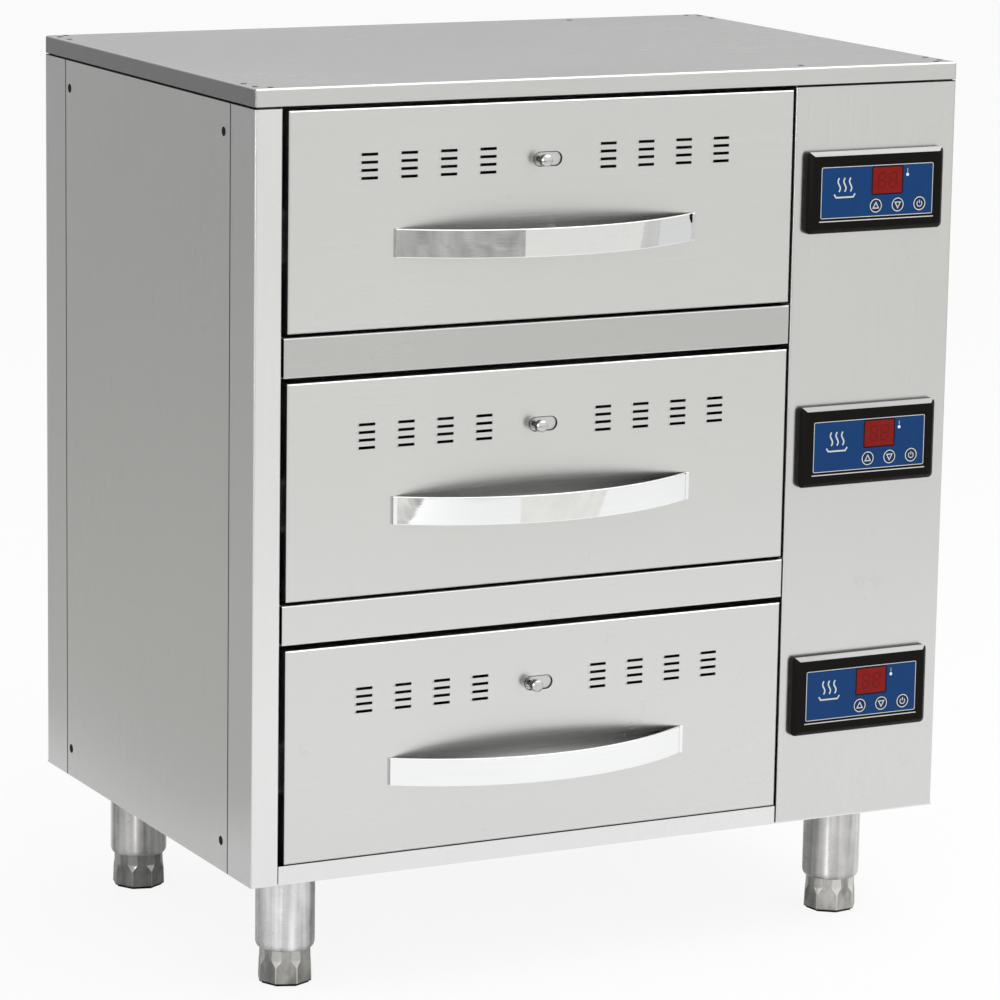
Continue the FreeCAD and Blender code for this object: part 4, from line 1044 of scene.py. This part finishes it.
        # Painted highlight: a pale metal strip along the bezel's upper bevel.
        highlight_strip = self.place(self.highlight_strip()).build(self.name + "_bezel_trim", dresser.bevel_highlight)
        dresser.add(highlight_strip, "cabinet", "stainless_sheet")
        frame = self.place(self.window_frame(), self.ink_lift)
        dresser.add(frame.build(self.name + "_display_frame", dresser.gloss_black), "cabinet", "black_plastic")
        label = self.place(self.label_print(), self.ink_lift)
        dresser.add(label.build(self.name + "_label_print", dresser.ink), "cabinet", "pale_plastic")
        digits = self.place(self.digit(-self.digit_side) + self.digit(self.digit_side), self.ink_lift)
        dresser.add(digits.build(self.name + "_display_digits", dresser.segment_glow), "cabinet", "red_display")
        lamp = lathe([(0.0015, -0.0002), (0.0015, 0.0001), (0.0012, 0.0005), (0.0004, 0.0007)], 24)
        lamp = self.place(lamp.turned(Axis.X, 90.0).moved(self.lamp_place[0], 0.0, self.lamp_place[1]))
        dresser.add(lamp.build(self.name + "_status_lamp", dresser.lamp), "cabinet", "pale_plastic")
        for step, kind in zip((-1, 0, 1), Symbol):
            self.build_button(dresser, kind, step)


@dataclass
class Foot:
    """One foot of the stand: its place, how far it is turned, and the painted shades of its leg and itself."""

    x: float
    y: float
    turn: float
    # Painted shade: factors that make this leg and this foot lighter or darker.
    leg_painted_shade: float
    shade: float
    base: float = 0.002
    base_radius: float = 0.0250
    shoulder_low: Flat = (0.014, 0.02455)
    shoulder_high: Flat = (0.0225, 0.0231)
    neck_radius: float = 0.0230
    flat_low: float = 0.0234
    flat_high: float = 0.0225
    flats: int = 8
    hidden: float = 0.006
    stem_radius: float = 0.011
    stem_low: float = 0.005
    stem_high: float = 0.039

    def cone(self, mouth: float) -> Shape:
        """Return the foot: leaning flats, whose corners are turned off, and more so above a shoulder.

        Each row has the flats' distance and the round surface's radius. A flat ends where the two meet, at the
        arc cosine of their quotient from its middle. There the round surface takes over up to the next flat.

        Args:
            mouth: the height of the leg's mouth.

        Returns:
            The surface, closed at both ends.
        """
        (low, low_radius), (high, high_radius) = self.shoulder_low, self.shoulder_high
        step = np.linspace(0.0, 1.0, 9)
        rise = np.concatenate([[0.0, low / 2], low + (high - low) * step, [mouth + self.hidden - self.base]])
        drawn_in = low_radius + (high_radius - low_radius) * step ** 2 * (3.0 - 2.0 * step)
        start = [self.base_radius, (self.base_radius + low_radius) / 2]
        outer = np.concatenate([start, drawn_in, [self.neck_radius]])
        flat = self.flat_low + (self.flat_high - self.flat_low) * rise / (mouth - self.base)
        sector = 2.0 * math.pi / self.flats
        end = np.arccos(flat / outer)[:, None]
        on_flat = end * np.linspace(-1.0, 1.0, 9)
        on_round = end + (sector - 2.0 * end) * np.linspace(0.0, 1.0, 9)[1:-1]
        away = np.concatenate([on_flat, on_round], axis=1)
        round_radius = np.broadcast_to(outer[:, None], on_round.shape)
        radius = np.tile(np.concatenate([flat[:, None] / np.cos(on_flat), round_radius], axis=1), (1, self.flats))
        middles = math.radians(self.turn) + np.arange(self.flats) * sector
        angle = (middles[None, :, None] + away[:, None, :]).reshape(len(rise), -1)
        z = np.broadcast_to(self.base + rise[:, None], angle.shape)
        return grid(np.stack([radius * np.cos(angle), radius * np.sin(angle), z], axis=-1), False, True)

    def stem(self, mouth: float) -> Shape:
        """Return the stem that stands in the leg.

        Args:
            mouth: the height of the leg's mouth.

        Returns:
            A plain rod, closed at both ends.
        """
        low, high = mouth + self.stem_low, mouth + self.stem_high
        return lathe([(0.0005, low), (self.stem_radius, low), (self.stem_radius, high), (0.0005, high)], 24)


@dataclass
class Stand:
    """The four legs and their screwed feet."""

    base: float = 0.1105
    leg_radius: float = 0.0267
    leg_wall: float = 0.0016
    plate: float = 0.004
    mouth_radius: float = 0.0233
    mouth: float = 0.0325
    lip: float = 0.0058
    leg_colour: Colour = (0.76, 0.75, 0.73)
    # Painted shade: the feet's steel is much darker than the legs'.
    shaded_foot_colour: Colour = (0.33, 0.325, 0.31)
    feet: dict[str, Foot] = field(default_factory=lambda: {
        "front_left": Foot(-0.2848, -0.1545, -20.8, 1.03, 1.1),
        "front_right": Foot(0.2848, -0.1545, -37.2, 0.8, 1.35),
        "rear_left": Foot(-0.2848, 0.1845, -14.6, 0.78, 0.7),
        "rear_right": Foot(0.2848, 0.1845, -5.0, 0.85, 1.0),
    })

    def dress(self, dresser: "Dresser") -> None:
        """Give the pads their finish."""
        dresser.paint(dresser.rubber, *(name + "_foot_pad" for name in self.feet))

    def leg(self) -> Shape:
        """Return a leg: a tube whose mouth is drawn in by a quarter of an ellipse, open at the foot."""
        step = self.leg_radius - self.mouth_radius
        lip = [(self.mouth_radius + step * math.cos(a), self.mouth + self.lip * (1 - math.sin(a)))
               for a in np.linspace(0.0, math.pi / 2, 12)]
        bore, roof = self.leg_radius - self.leg_wall, self.base - self.plate
        inner = [(self.mouth_radius - 0.0001, self.mouth + 0.001), (bore, self.mouth + 0.008), (bore, roof)]
        return lathe([(0.0005, self.base), (self.leg_radius, self.base)] + lip + inner + [(0.0005, roof)], 96)

    def build(self, dresser: "Dresser") -> None:
        """Make the legs and feet.

        Args:
            dresser: the finishes and the part's bodies.
        """
        for name, foot in self.feet.items():
            # Painted shade: the leg's and the foot's colour are tinted by their factors.
            steel = TurnedSteel(name + "_leg_steel", tinted(self.leg_colour, foot.leg_painted_shade)).build()
            leg = self.leg().moved(foot.x, foot.y).build(name + "_leg", steel, 40.0)
            dresser.add(leg, "cabinet", "stand_steel", "legs")
            colour = tinted(self.shaded_foot_colour, foot.shade)
            finish = MilledFoot(name + "_foot_steel", colour, foot.turn, foot.base, foot.flats).build()
            shape = (foot.cone(self.mouth) + foot.stem(self.mouth)).moved(foot.x, foot.y)
            dresser.add(shape.build(name + "_foot_cone", finish, 11.0), name + "_foot", "stand_steel", name + "_foot")


class Services:
    """What lies behind: heating, probes, slides, controller cases, terminals and the cable gland."""

    def dress(self, dresser: "Dresser") -> None:
        """Give the nodes behind the panels their finishes.

        Args:
            dresser: the finishes and the part's solids.
        """
        dresser.paint(dresser.sheath, "heating_elements", "temperature_probes")
        dresser.paint(dresser.zinc, "slide_cabinet_members")
        dresser.paint(dresser.black, "controller_cases", "cable_gland")
        dresser.paint(dresser.pale, "terminal_block")
        dresser.paint(dresser.film, "controller_overlays")
        dresser.paint(dresser.window, "controller_displays")


class Dresser:
    """Holds the finishes, hands them to CAD nodes and sets new pieces on their bodies."""

    def __init__(self, nodes: dict[str, bpy.types.Object]) -> None:
        """Build every finish once.

        Args:
            nodes: the part's solids by name.
        """
        self.nodes = nodes
        self.build_sheets()
        self.build_metals()
        self.build_plastics()

    def build_sheets(self) -> None:
        """Build the brushed sheets, with bands of painted shade: shadow lines in the seams and in the gap under the
        cover's skirt, darker outer faces, a darker cover top and upper rail, and a dark wall behind the vents.
        """
        steel = (0.70, 0.695, 0.685)
        side_faces = [(Axis.X, x, 0.0012) for x in (-0.35, 0.35)]
        # Painted shade: the posts' outer side faces a little darker, the cover skirt's side faces much darker.
        sides = tuple(ShadeBand(*face, 0.12) for face in side_faces)
        skirt_side_shades = tuple(ShadeBand(*face, 0.525) for face in side_faces)
        # Painted shadow lines: in the gap under the cover's skirt and in the seams of the side panels and posts.
        shadow_below_cover = ShadeBand(Axis.Z, 0.8, 0.0073, 0.95)
        seam_shadows = tuple(ShadeBand(Axis.Y, y, 0.0011, 0.85) for y in (-0.17375, 0.20375)) + (shadow_below_cover,)
        # Painted shade on the cover: its top a little darker, and a dark shadow line along the skirt's lower edge.
        cover = skirt_side_shades + (ShadeBand(Axis.Z, 0.8105, 0.0002, 0.06), ShadeBand(Axis.Z, 0.7945, 0.0004, 0.9))
        # Painted shade: the drawer box's wall behind the vents nearly black, and the upper rail darker.
        vent_shadow, upper_rail_shade = ShadeBand(Axis.Y, -0.2145, 0.0057, 0.94), ShadeBand(Axis.Z, 0.576, 0.03, 0.21)
        self.cover = BrushedSteel("cover_steel", tinted(steel, 0.97), Axis.X, stretch=0.0, shade_bands=cover).build()
        self.side = BrushedSteel("side_steel", steel, Axis.Z, 0.3, stretch=0.0, shade_bands=seam_shadows).build()
        self.post = BrushedSteel("post_steel", tinted(steel, 1.16), Axis.Z, shade_bands=seam_shadows + sides).build()
        self.fascia = BrushedSteel("fascia_steel", tinted(steel, 0.97), Axis.Z, shade_bands=(shadow_below_cover,)).build()
        self.sheet = BrushedSteel("sheet_steel", tinted(steel, 0.9), Axis.X, 0.34).build()
        self.box = BrushedSteel("box_steel", tinted(steel, 0.9), Axis.Y, 0.34, shade_bands=(vent_shadow,)).build()
        self.rail = BrushedSteel("rail_steel", tinted(steel, 1.02), Axis.X, shade_bands=(upper_rail_shade,)).build()
        self.front = BrushedSteel("front_steel", steel, Axis.X).build()
        # Painted highlight for the bezels' upper bevels.
        self.bevel_highlight = BrushedSteel("trim_silver", (0.34, 0.34, 0.34), Axis.X, 0.45, contrast=0.2, cloud=0.9).build()

    def build_metals(self) -> None:
        """Build the plated and heated metals."""
        # Painted shade: the handle's back, which faces the drawer front, and the knob's round side are nearly black.
        self.chrome = PolishedChrome("handle_chrome", (0.93, 0.93, 0.925), back_painted_shade=0.85).build()
        self.knob = PolishedChrome("knob_chrome", (0.6, 0.6, 0.59), roughness=0.12, side_painted_shade=0.9).build()
        self.zinc = ZincPlate("slide_zinc", (0.6, 0.61, 0.63)).build()
        self.sheath = HeatedSheath("element_sheath_steel", (0.35, 0.34, 0.33)).build()

    def build_plastics(self) -> None:
        """Build the mouldings, films, inks and windows."""
        self.black = Moulding("black_moulding", (0.012, 0.0115, 0.011), 0.45, shine=0.15).build()
        bezel = Moulding("bezel_moulding", (0.0065, 0.0055, 0.0042), 0.3, grain=700.0, depth=0.00002, shine=0.07)
        self.gloss_black = bezel.build()
        self.dark_screw = Moulding("screw_black", (0.05, 0.05, 0.048), 0.4, shine=0.2).build()
        rubber = Moulding("pad_rubber", (0.006, 0.006, 0.006), 0.6, grain=500.0, depth=0.00006, shine=0.1)
        self.rubber = rubber.build()
        self.pale = Moulding("terminal_plastic", (0.66, 0.64, 0.58), 0.5).build()
        self.film = PrintedFilm("overlay_film", (0.006, 0.045, 0.16)).build()
        self.button = PrintedFilm("button_film_blue", (0.007, 0.035, 0.12)).build()
        self.ink = Moulding("print_ink", (0.62, 0.62, 0.60), 0.5, grain=1500.0, depth=0.00001, shine=0.2).build()
        # Painted glow: the display window and its digits glow faintly though the digits are unlit; the status lamp's
        # glow is its own light.
        self.window = TintedWindow("display_window", (0.22, 0.006, 0.004), glow=0.06).build()
        self.segment_glow = TintedWindow("display_segment", (0.12, 0.006, 0.005), glow=0.02).build()
        self.lamp = TintedWindow("status_lamp_lens", (0.62, 0.72, 0.78), glow=0.3).build()

    def paint(self, material: bpy.types.Material, *names: str) -> None:
        """Give CAD nodes a finish.

        Args:
            material: the finish.
            names: the nodes.
        """
        for name in names:
            node = self.nodes[name]
            if not node.data.materials:
                node.data.materials.append(material)
            for slot in node.material_slots:
                slot.material = material
            LOG.info("finish %s on %s", material.name, name)

    def add(self, piece: bpy.types.Object, body: str, slot: str, replaced: Optional[str] = None) -> None:
        """Set a new piece on its body.

        Args:
            piece: the new piece.
            body: the CAD body that it moves with.
            slot: the record's material slot for the piece; not used.
            replaced: the CAD node that it stands for.
        """
        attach(piece, body)
        if replaced:
            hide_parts(replaced)
        LOG.info("piece %s on %s", piece.name, body)


# --- studio -------------------------------------------------------------------------------------------


@dataclass(frozen=True)
class Mat:
    """A smeared grey mat on the floor that only reflections show: its corners and its darkest and lightest grey."""

    name: str
    corners: tuple[Flat, ...]
    dark: float
    light: float


@dataclass(frozen=True)
class Screen:
    """A grey screen that faces the part; only reflections and light see it."""

    name: str
    centre: Triple
    size: Flat
    grey: float


@dataclass(frozen=True)
class Lamp:
    """A soft lamp that looks at the part's middle."""

    name: str
    place: Triple
    size: Flat
    power: float


@dataclass
class Studio:
    """The plain floor, the mats and screens that the metal reflects, the lamps and the camera."""

    azimuth: float = -27.2805
    elevation: float = 11.3884
    roll: float = 0.9309
    lens: float = 164.95
    sensor: float = 36.0
    far_end: float = 100.0
    eye: Triple = (-1.92817, -3.74768, 1.23696)
    target: Triple = (0.0, 0.0, 0.45)
    floor_reach: float = 14.0
    floor_white: float = 0.88
    mat_height: float = 0.004
    daylight: tuple[Colour, float] = ((0.98, 0.99, 1.0), 0.75)
    backdrop: tuple[Colour, float] = (WHITE, 1.0)
    mats: tuple[Mat, ...] = (
        Mat("mat_in_front", ((-7.0, -1.7), (-7.0, -10.0), (1.58, -10.0), (0.27, -2.5), (-1.12, -2.5), (-1.4, -1.7)),
            0.25, 0.68),
        Mat("card_in_front", ((0.28, -2.5), (1.6, -10.0), (9.0, -10.0), (9.0, -2.5)), 0.96, 1.0),
        Mat("paper_in_front", ((0.15, -1.8), (0.27, -2.49), (9.0, -2.49), (9.0, -1.8)), 0.7, 0.8),
        Mat("mat_rear_left", ((-0.55, 0.35), (-0.55, 5.0), (-6.0, 5.0), (-6.0, -0.6), (-1.4, -0.6)), 0.5, 0.56),
    )
    screens: tuple[Screen, ...] = (
        Screen("grey_wall_rear_left", (-3.6, 3.6, 1.4), (5.4, 2.8), 0.5),
        Screen("grey_wall_rear_right", (2.7, 1.3, 1.0), (1.5, 2.0), 0.12),
        Screen("grey_wall_behind", (1.6, 3.6, 1.0), (3.4, 2.0), 0.6),
    )
    lamps: tuple[Lamp, ...] = (
        Lamp("overhead_lamp", (1.0, -0.9, 2.9), (3.2, 3.2), 44.0),
        Lamp("strip_lamp", (-2.2, -2.5, 1.1), (0.2, 1.5), 14.0),
    )

    def camera(self) -> None:
        """Set the camera by its direction, its roll and its place."""
        a, e, r = (math.radians(angle) for angle in (self.azimuth, self.elevation, self.roll))
        back = np.array([math.sin(a) * math.cos(e), -math.cos(a) * math.cos(e), math.sin(e)])
        right = np.array([math.cos(a), math.sin(a), 0.0])
        up = np.cross(back, right)
        tilted_right = math.cos(r) * right + math.sin(r) * up
        tilted_up = -math.sin(r) * right + math.cos(r) * up
        data = bpy.data.cameras.new("camera")
        data.lens, data.sensor_width, data.clip_end = self.lens, self.sensor, self.far_end
        camera = bpy.data.objects.new("camera", data)
        turn = Matrix(np.stack([tilted_right, tilted_up, back], axis=1).tolist()).to_4x4()
        camera.matrix_world = Matrix.Translation(self.eye) @ turn
        bpy.context.scene.collection.objects.link(camera)
        bpy.context.scene.camera = camera

    def sheet(self, name: str, corners: Sequence[Triple], material: bpy.types.Material, seen: bool = False) -> None:
        """Set up a flat stage piece.

        Args:
            name: its name.
            corners: its corners, in order.
            material: its finish.
            seen: the camera, diffuse light and shadows see it too, and not only reflections.
        """
        mesh = bpy.data.meshes.new(name)
        mesh.from_pydata(list(corners), [], [tuple(range(len(corners)))])
        mesh.materials.append(material)
        piece = bpy.data.objects.new(name, mesh)
        bpy.context.scene.collection.objects.link(piece)
        piece.visible_camera = piece.visible_diffuse = piece.visible_shadow = seen

    def floor(self) -> None:
        """Lay the pale floor, which the camera sees as nearly white with a soft shadow."""
        graph = Graph("floor_paper")
        grain = graph.noise(EVEN, 60.0, 3.0)
        graph.finish(base_color=graph.blend(grain, (0.86, 0.86, 0.86), (0.9, 0.9, 0.9)), roughness=0.9)
        white = graph.node("ShaderNodeEmission", None, {"Color": WHITE, "Strength": 1.0})
        seen = graph.node("ShaderNodeLightPath", output="Is Camera Ray")
        shader = Socket(graph, graph.shader.outputs[0])
        mixed = graph.node("ShaderNodeMixShader", None, {0: seen * self.floor_white, 1: shader, 2: white})
        graph.feed(graph.output.inputs[0], mixed)
        ways = ((-1.0, -1.0), (1.0, -1.0), (1.0, 1.0), (-1.0, 1.0))
        corners = [(x * self.floor_reach, y * self.floor_reach, 0.0) for x, y in ways]
        self.sheet("floor", corners, graph.material, seen=True)

    def stage_screen(self, screen: Screen) -> None:
        """Stand a screen so that it faces the part's axis.

        Args:
            screen: the screen.
        """
        graph = Graph(screen.name + "_cloth")
        weave = graph.noise(EVEN, 90.0, 2.0)
        colour = graph.blend(weave, (screen.grey * 0.92,) * 3, (screen.grey * 1.08,) * 3)
        graph.finish(base_color=colour, roughness=0.9)
        middle = Vector(screen.centre)
        away = Vector((middle.x, middle.y, 0.0)).normalized()
        across = Vector((-away.y, away.x, 0.0)) * screen.size[0] / 2
        up = Vector((0.0, 0.0, screen.size[1] / 2))
        corners = (middle - across - up, middle + across - up, middle + across + up, middle - across + up)
        self.sheet(screen.name, [tuple(corner) for corner in corners], graph.material)

    def lay_mat(self, mat: Mat) -> None:
        """Lay a mat on the floor.

        Args:
            mat: the mat.
        """
        graph = Graph(mat.name + "_cloth")
        smears = graph.noise((1.4, 9.0, 1.0), 1.0, 4.0, 0.65).ramp(0.3, 0.7)
        dark, light = ((grey, grey, grey * 0.96) for grey in (mat.dark, mat.light))
        graph.finish(base_color=graph.blend(smears, dark, light), roughness=0.8)
        self.sheet(mat.name, [(x, y, self.mat_height) for x, y in mat.corners], graph.material)

    def world(self) -> None:
        """Light from all round; the camera, reflections and glass see it as white."""
        world = bpy.data.worlds.new("studio")
        bpy.context.scene.world = world
        world.use_nodes = True
        nodes, links = world.node_tree.nodes, world.node_tree.links
        nodes.clear()
        rays = nodes.new("ShaderNodeLightPath")
        seen = rays.outputs["Is Camera Ray"]
        for ray in ("Is Glossy Ray", "Is Transmission Ray"):
            either = nodes.new("ShaderNodeMath")
            either.operation = "MAXIMUM"
            links.new(seen, either.inputs[0])
            links.new(rays.outputs[ray], either.inputs[1])
            seen = either.outputs[0]
        mix, output = nodes.new("ShaderNodeMixShader"), nodes.new("ShaderNodeOutputWorld")
        links.new(seen, mix.inputs[0])
        for place, (colour, strength) in enumerate((self.daylight, self.backdrop), start=1):
            shade = nodes.new("ShaderNodeBackground")
            shade.inputs["Color"].default_value = (*colour, 1.0)
            shade.inputs["Strength"].default_value = strength
            links.new(shade.outputs[0], mix.inputs[place])
        links.new(mix.outputs[0], output.inputs[0])

    def hang_lamp(self, lamp: Lamp) -> None:
        """Hang a lamp.

        Args:
            lamp: the lamp.
        """
        data = bpy.data.lights.new(lamp.name, "AREA")
        data.shape = "RECTANGLE"
        data.size, data.size_y = lamp.size
        data.energy = lamp.power
        piece = bpy.data.objects.new(lamp.name, data)
        away = Vector(lamp.place) - Vector(self.target)
        piece.matrix_world = Matrix.Translation(lamp.place) @ away.to_track_quat("Z", "Y").to_matrix().to_4x4()
        bpy.context.scene.collection.objects.link(piece)

    def build(self) -> None:
        """Set up the whole studio."""
        bpy.context.scene.view_settings.view_transform = "Standard"
        self.camera()
        self.world()
        self.floor()
        for mat in self.mats:
            self.lay_mat(mat)
        for screen in self.screens:
            self.stage_screen(screen)
        for lamp in self.lamps:
            self.hang_lamp(lamp)


def main() -> None:
    """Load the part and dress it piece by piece."""
    logging.basicConfig(level=logging.INFO, format="%(message)s")
    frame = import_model()
    Studio().build()
    dresser = Dresser(frame["nodes"])
    casing = Casing()
    casing.dress(dresser)
    casing.build(dresser)
    for index, name in enumerate(DRAWERS):
        drawer = Drawer(name, LOWEST_DRAWER + DRAWER_PITCH * index)
        drawer.dress(dresser)
        drawer.build(dresser)
        Controller(name, LOWEST_CONTROLLER + CONTROLLER_PITCH * index).build(dresser)
    stand = Stand()
    stand.dress(dresser)
    stand.build(dresser)
    Services().dress(dresser)
    bpy.context.view_layer.update()


if __name__ == "__main__":
    main()
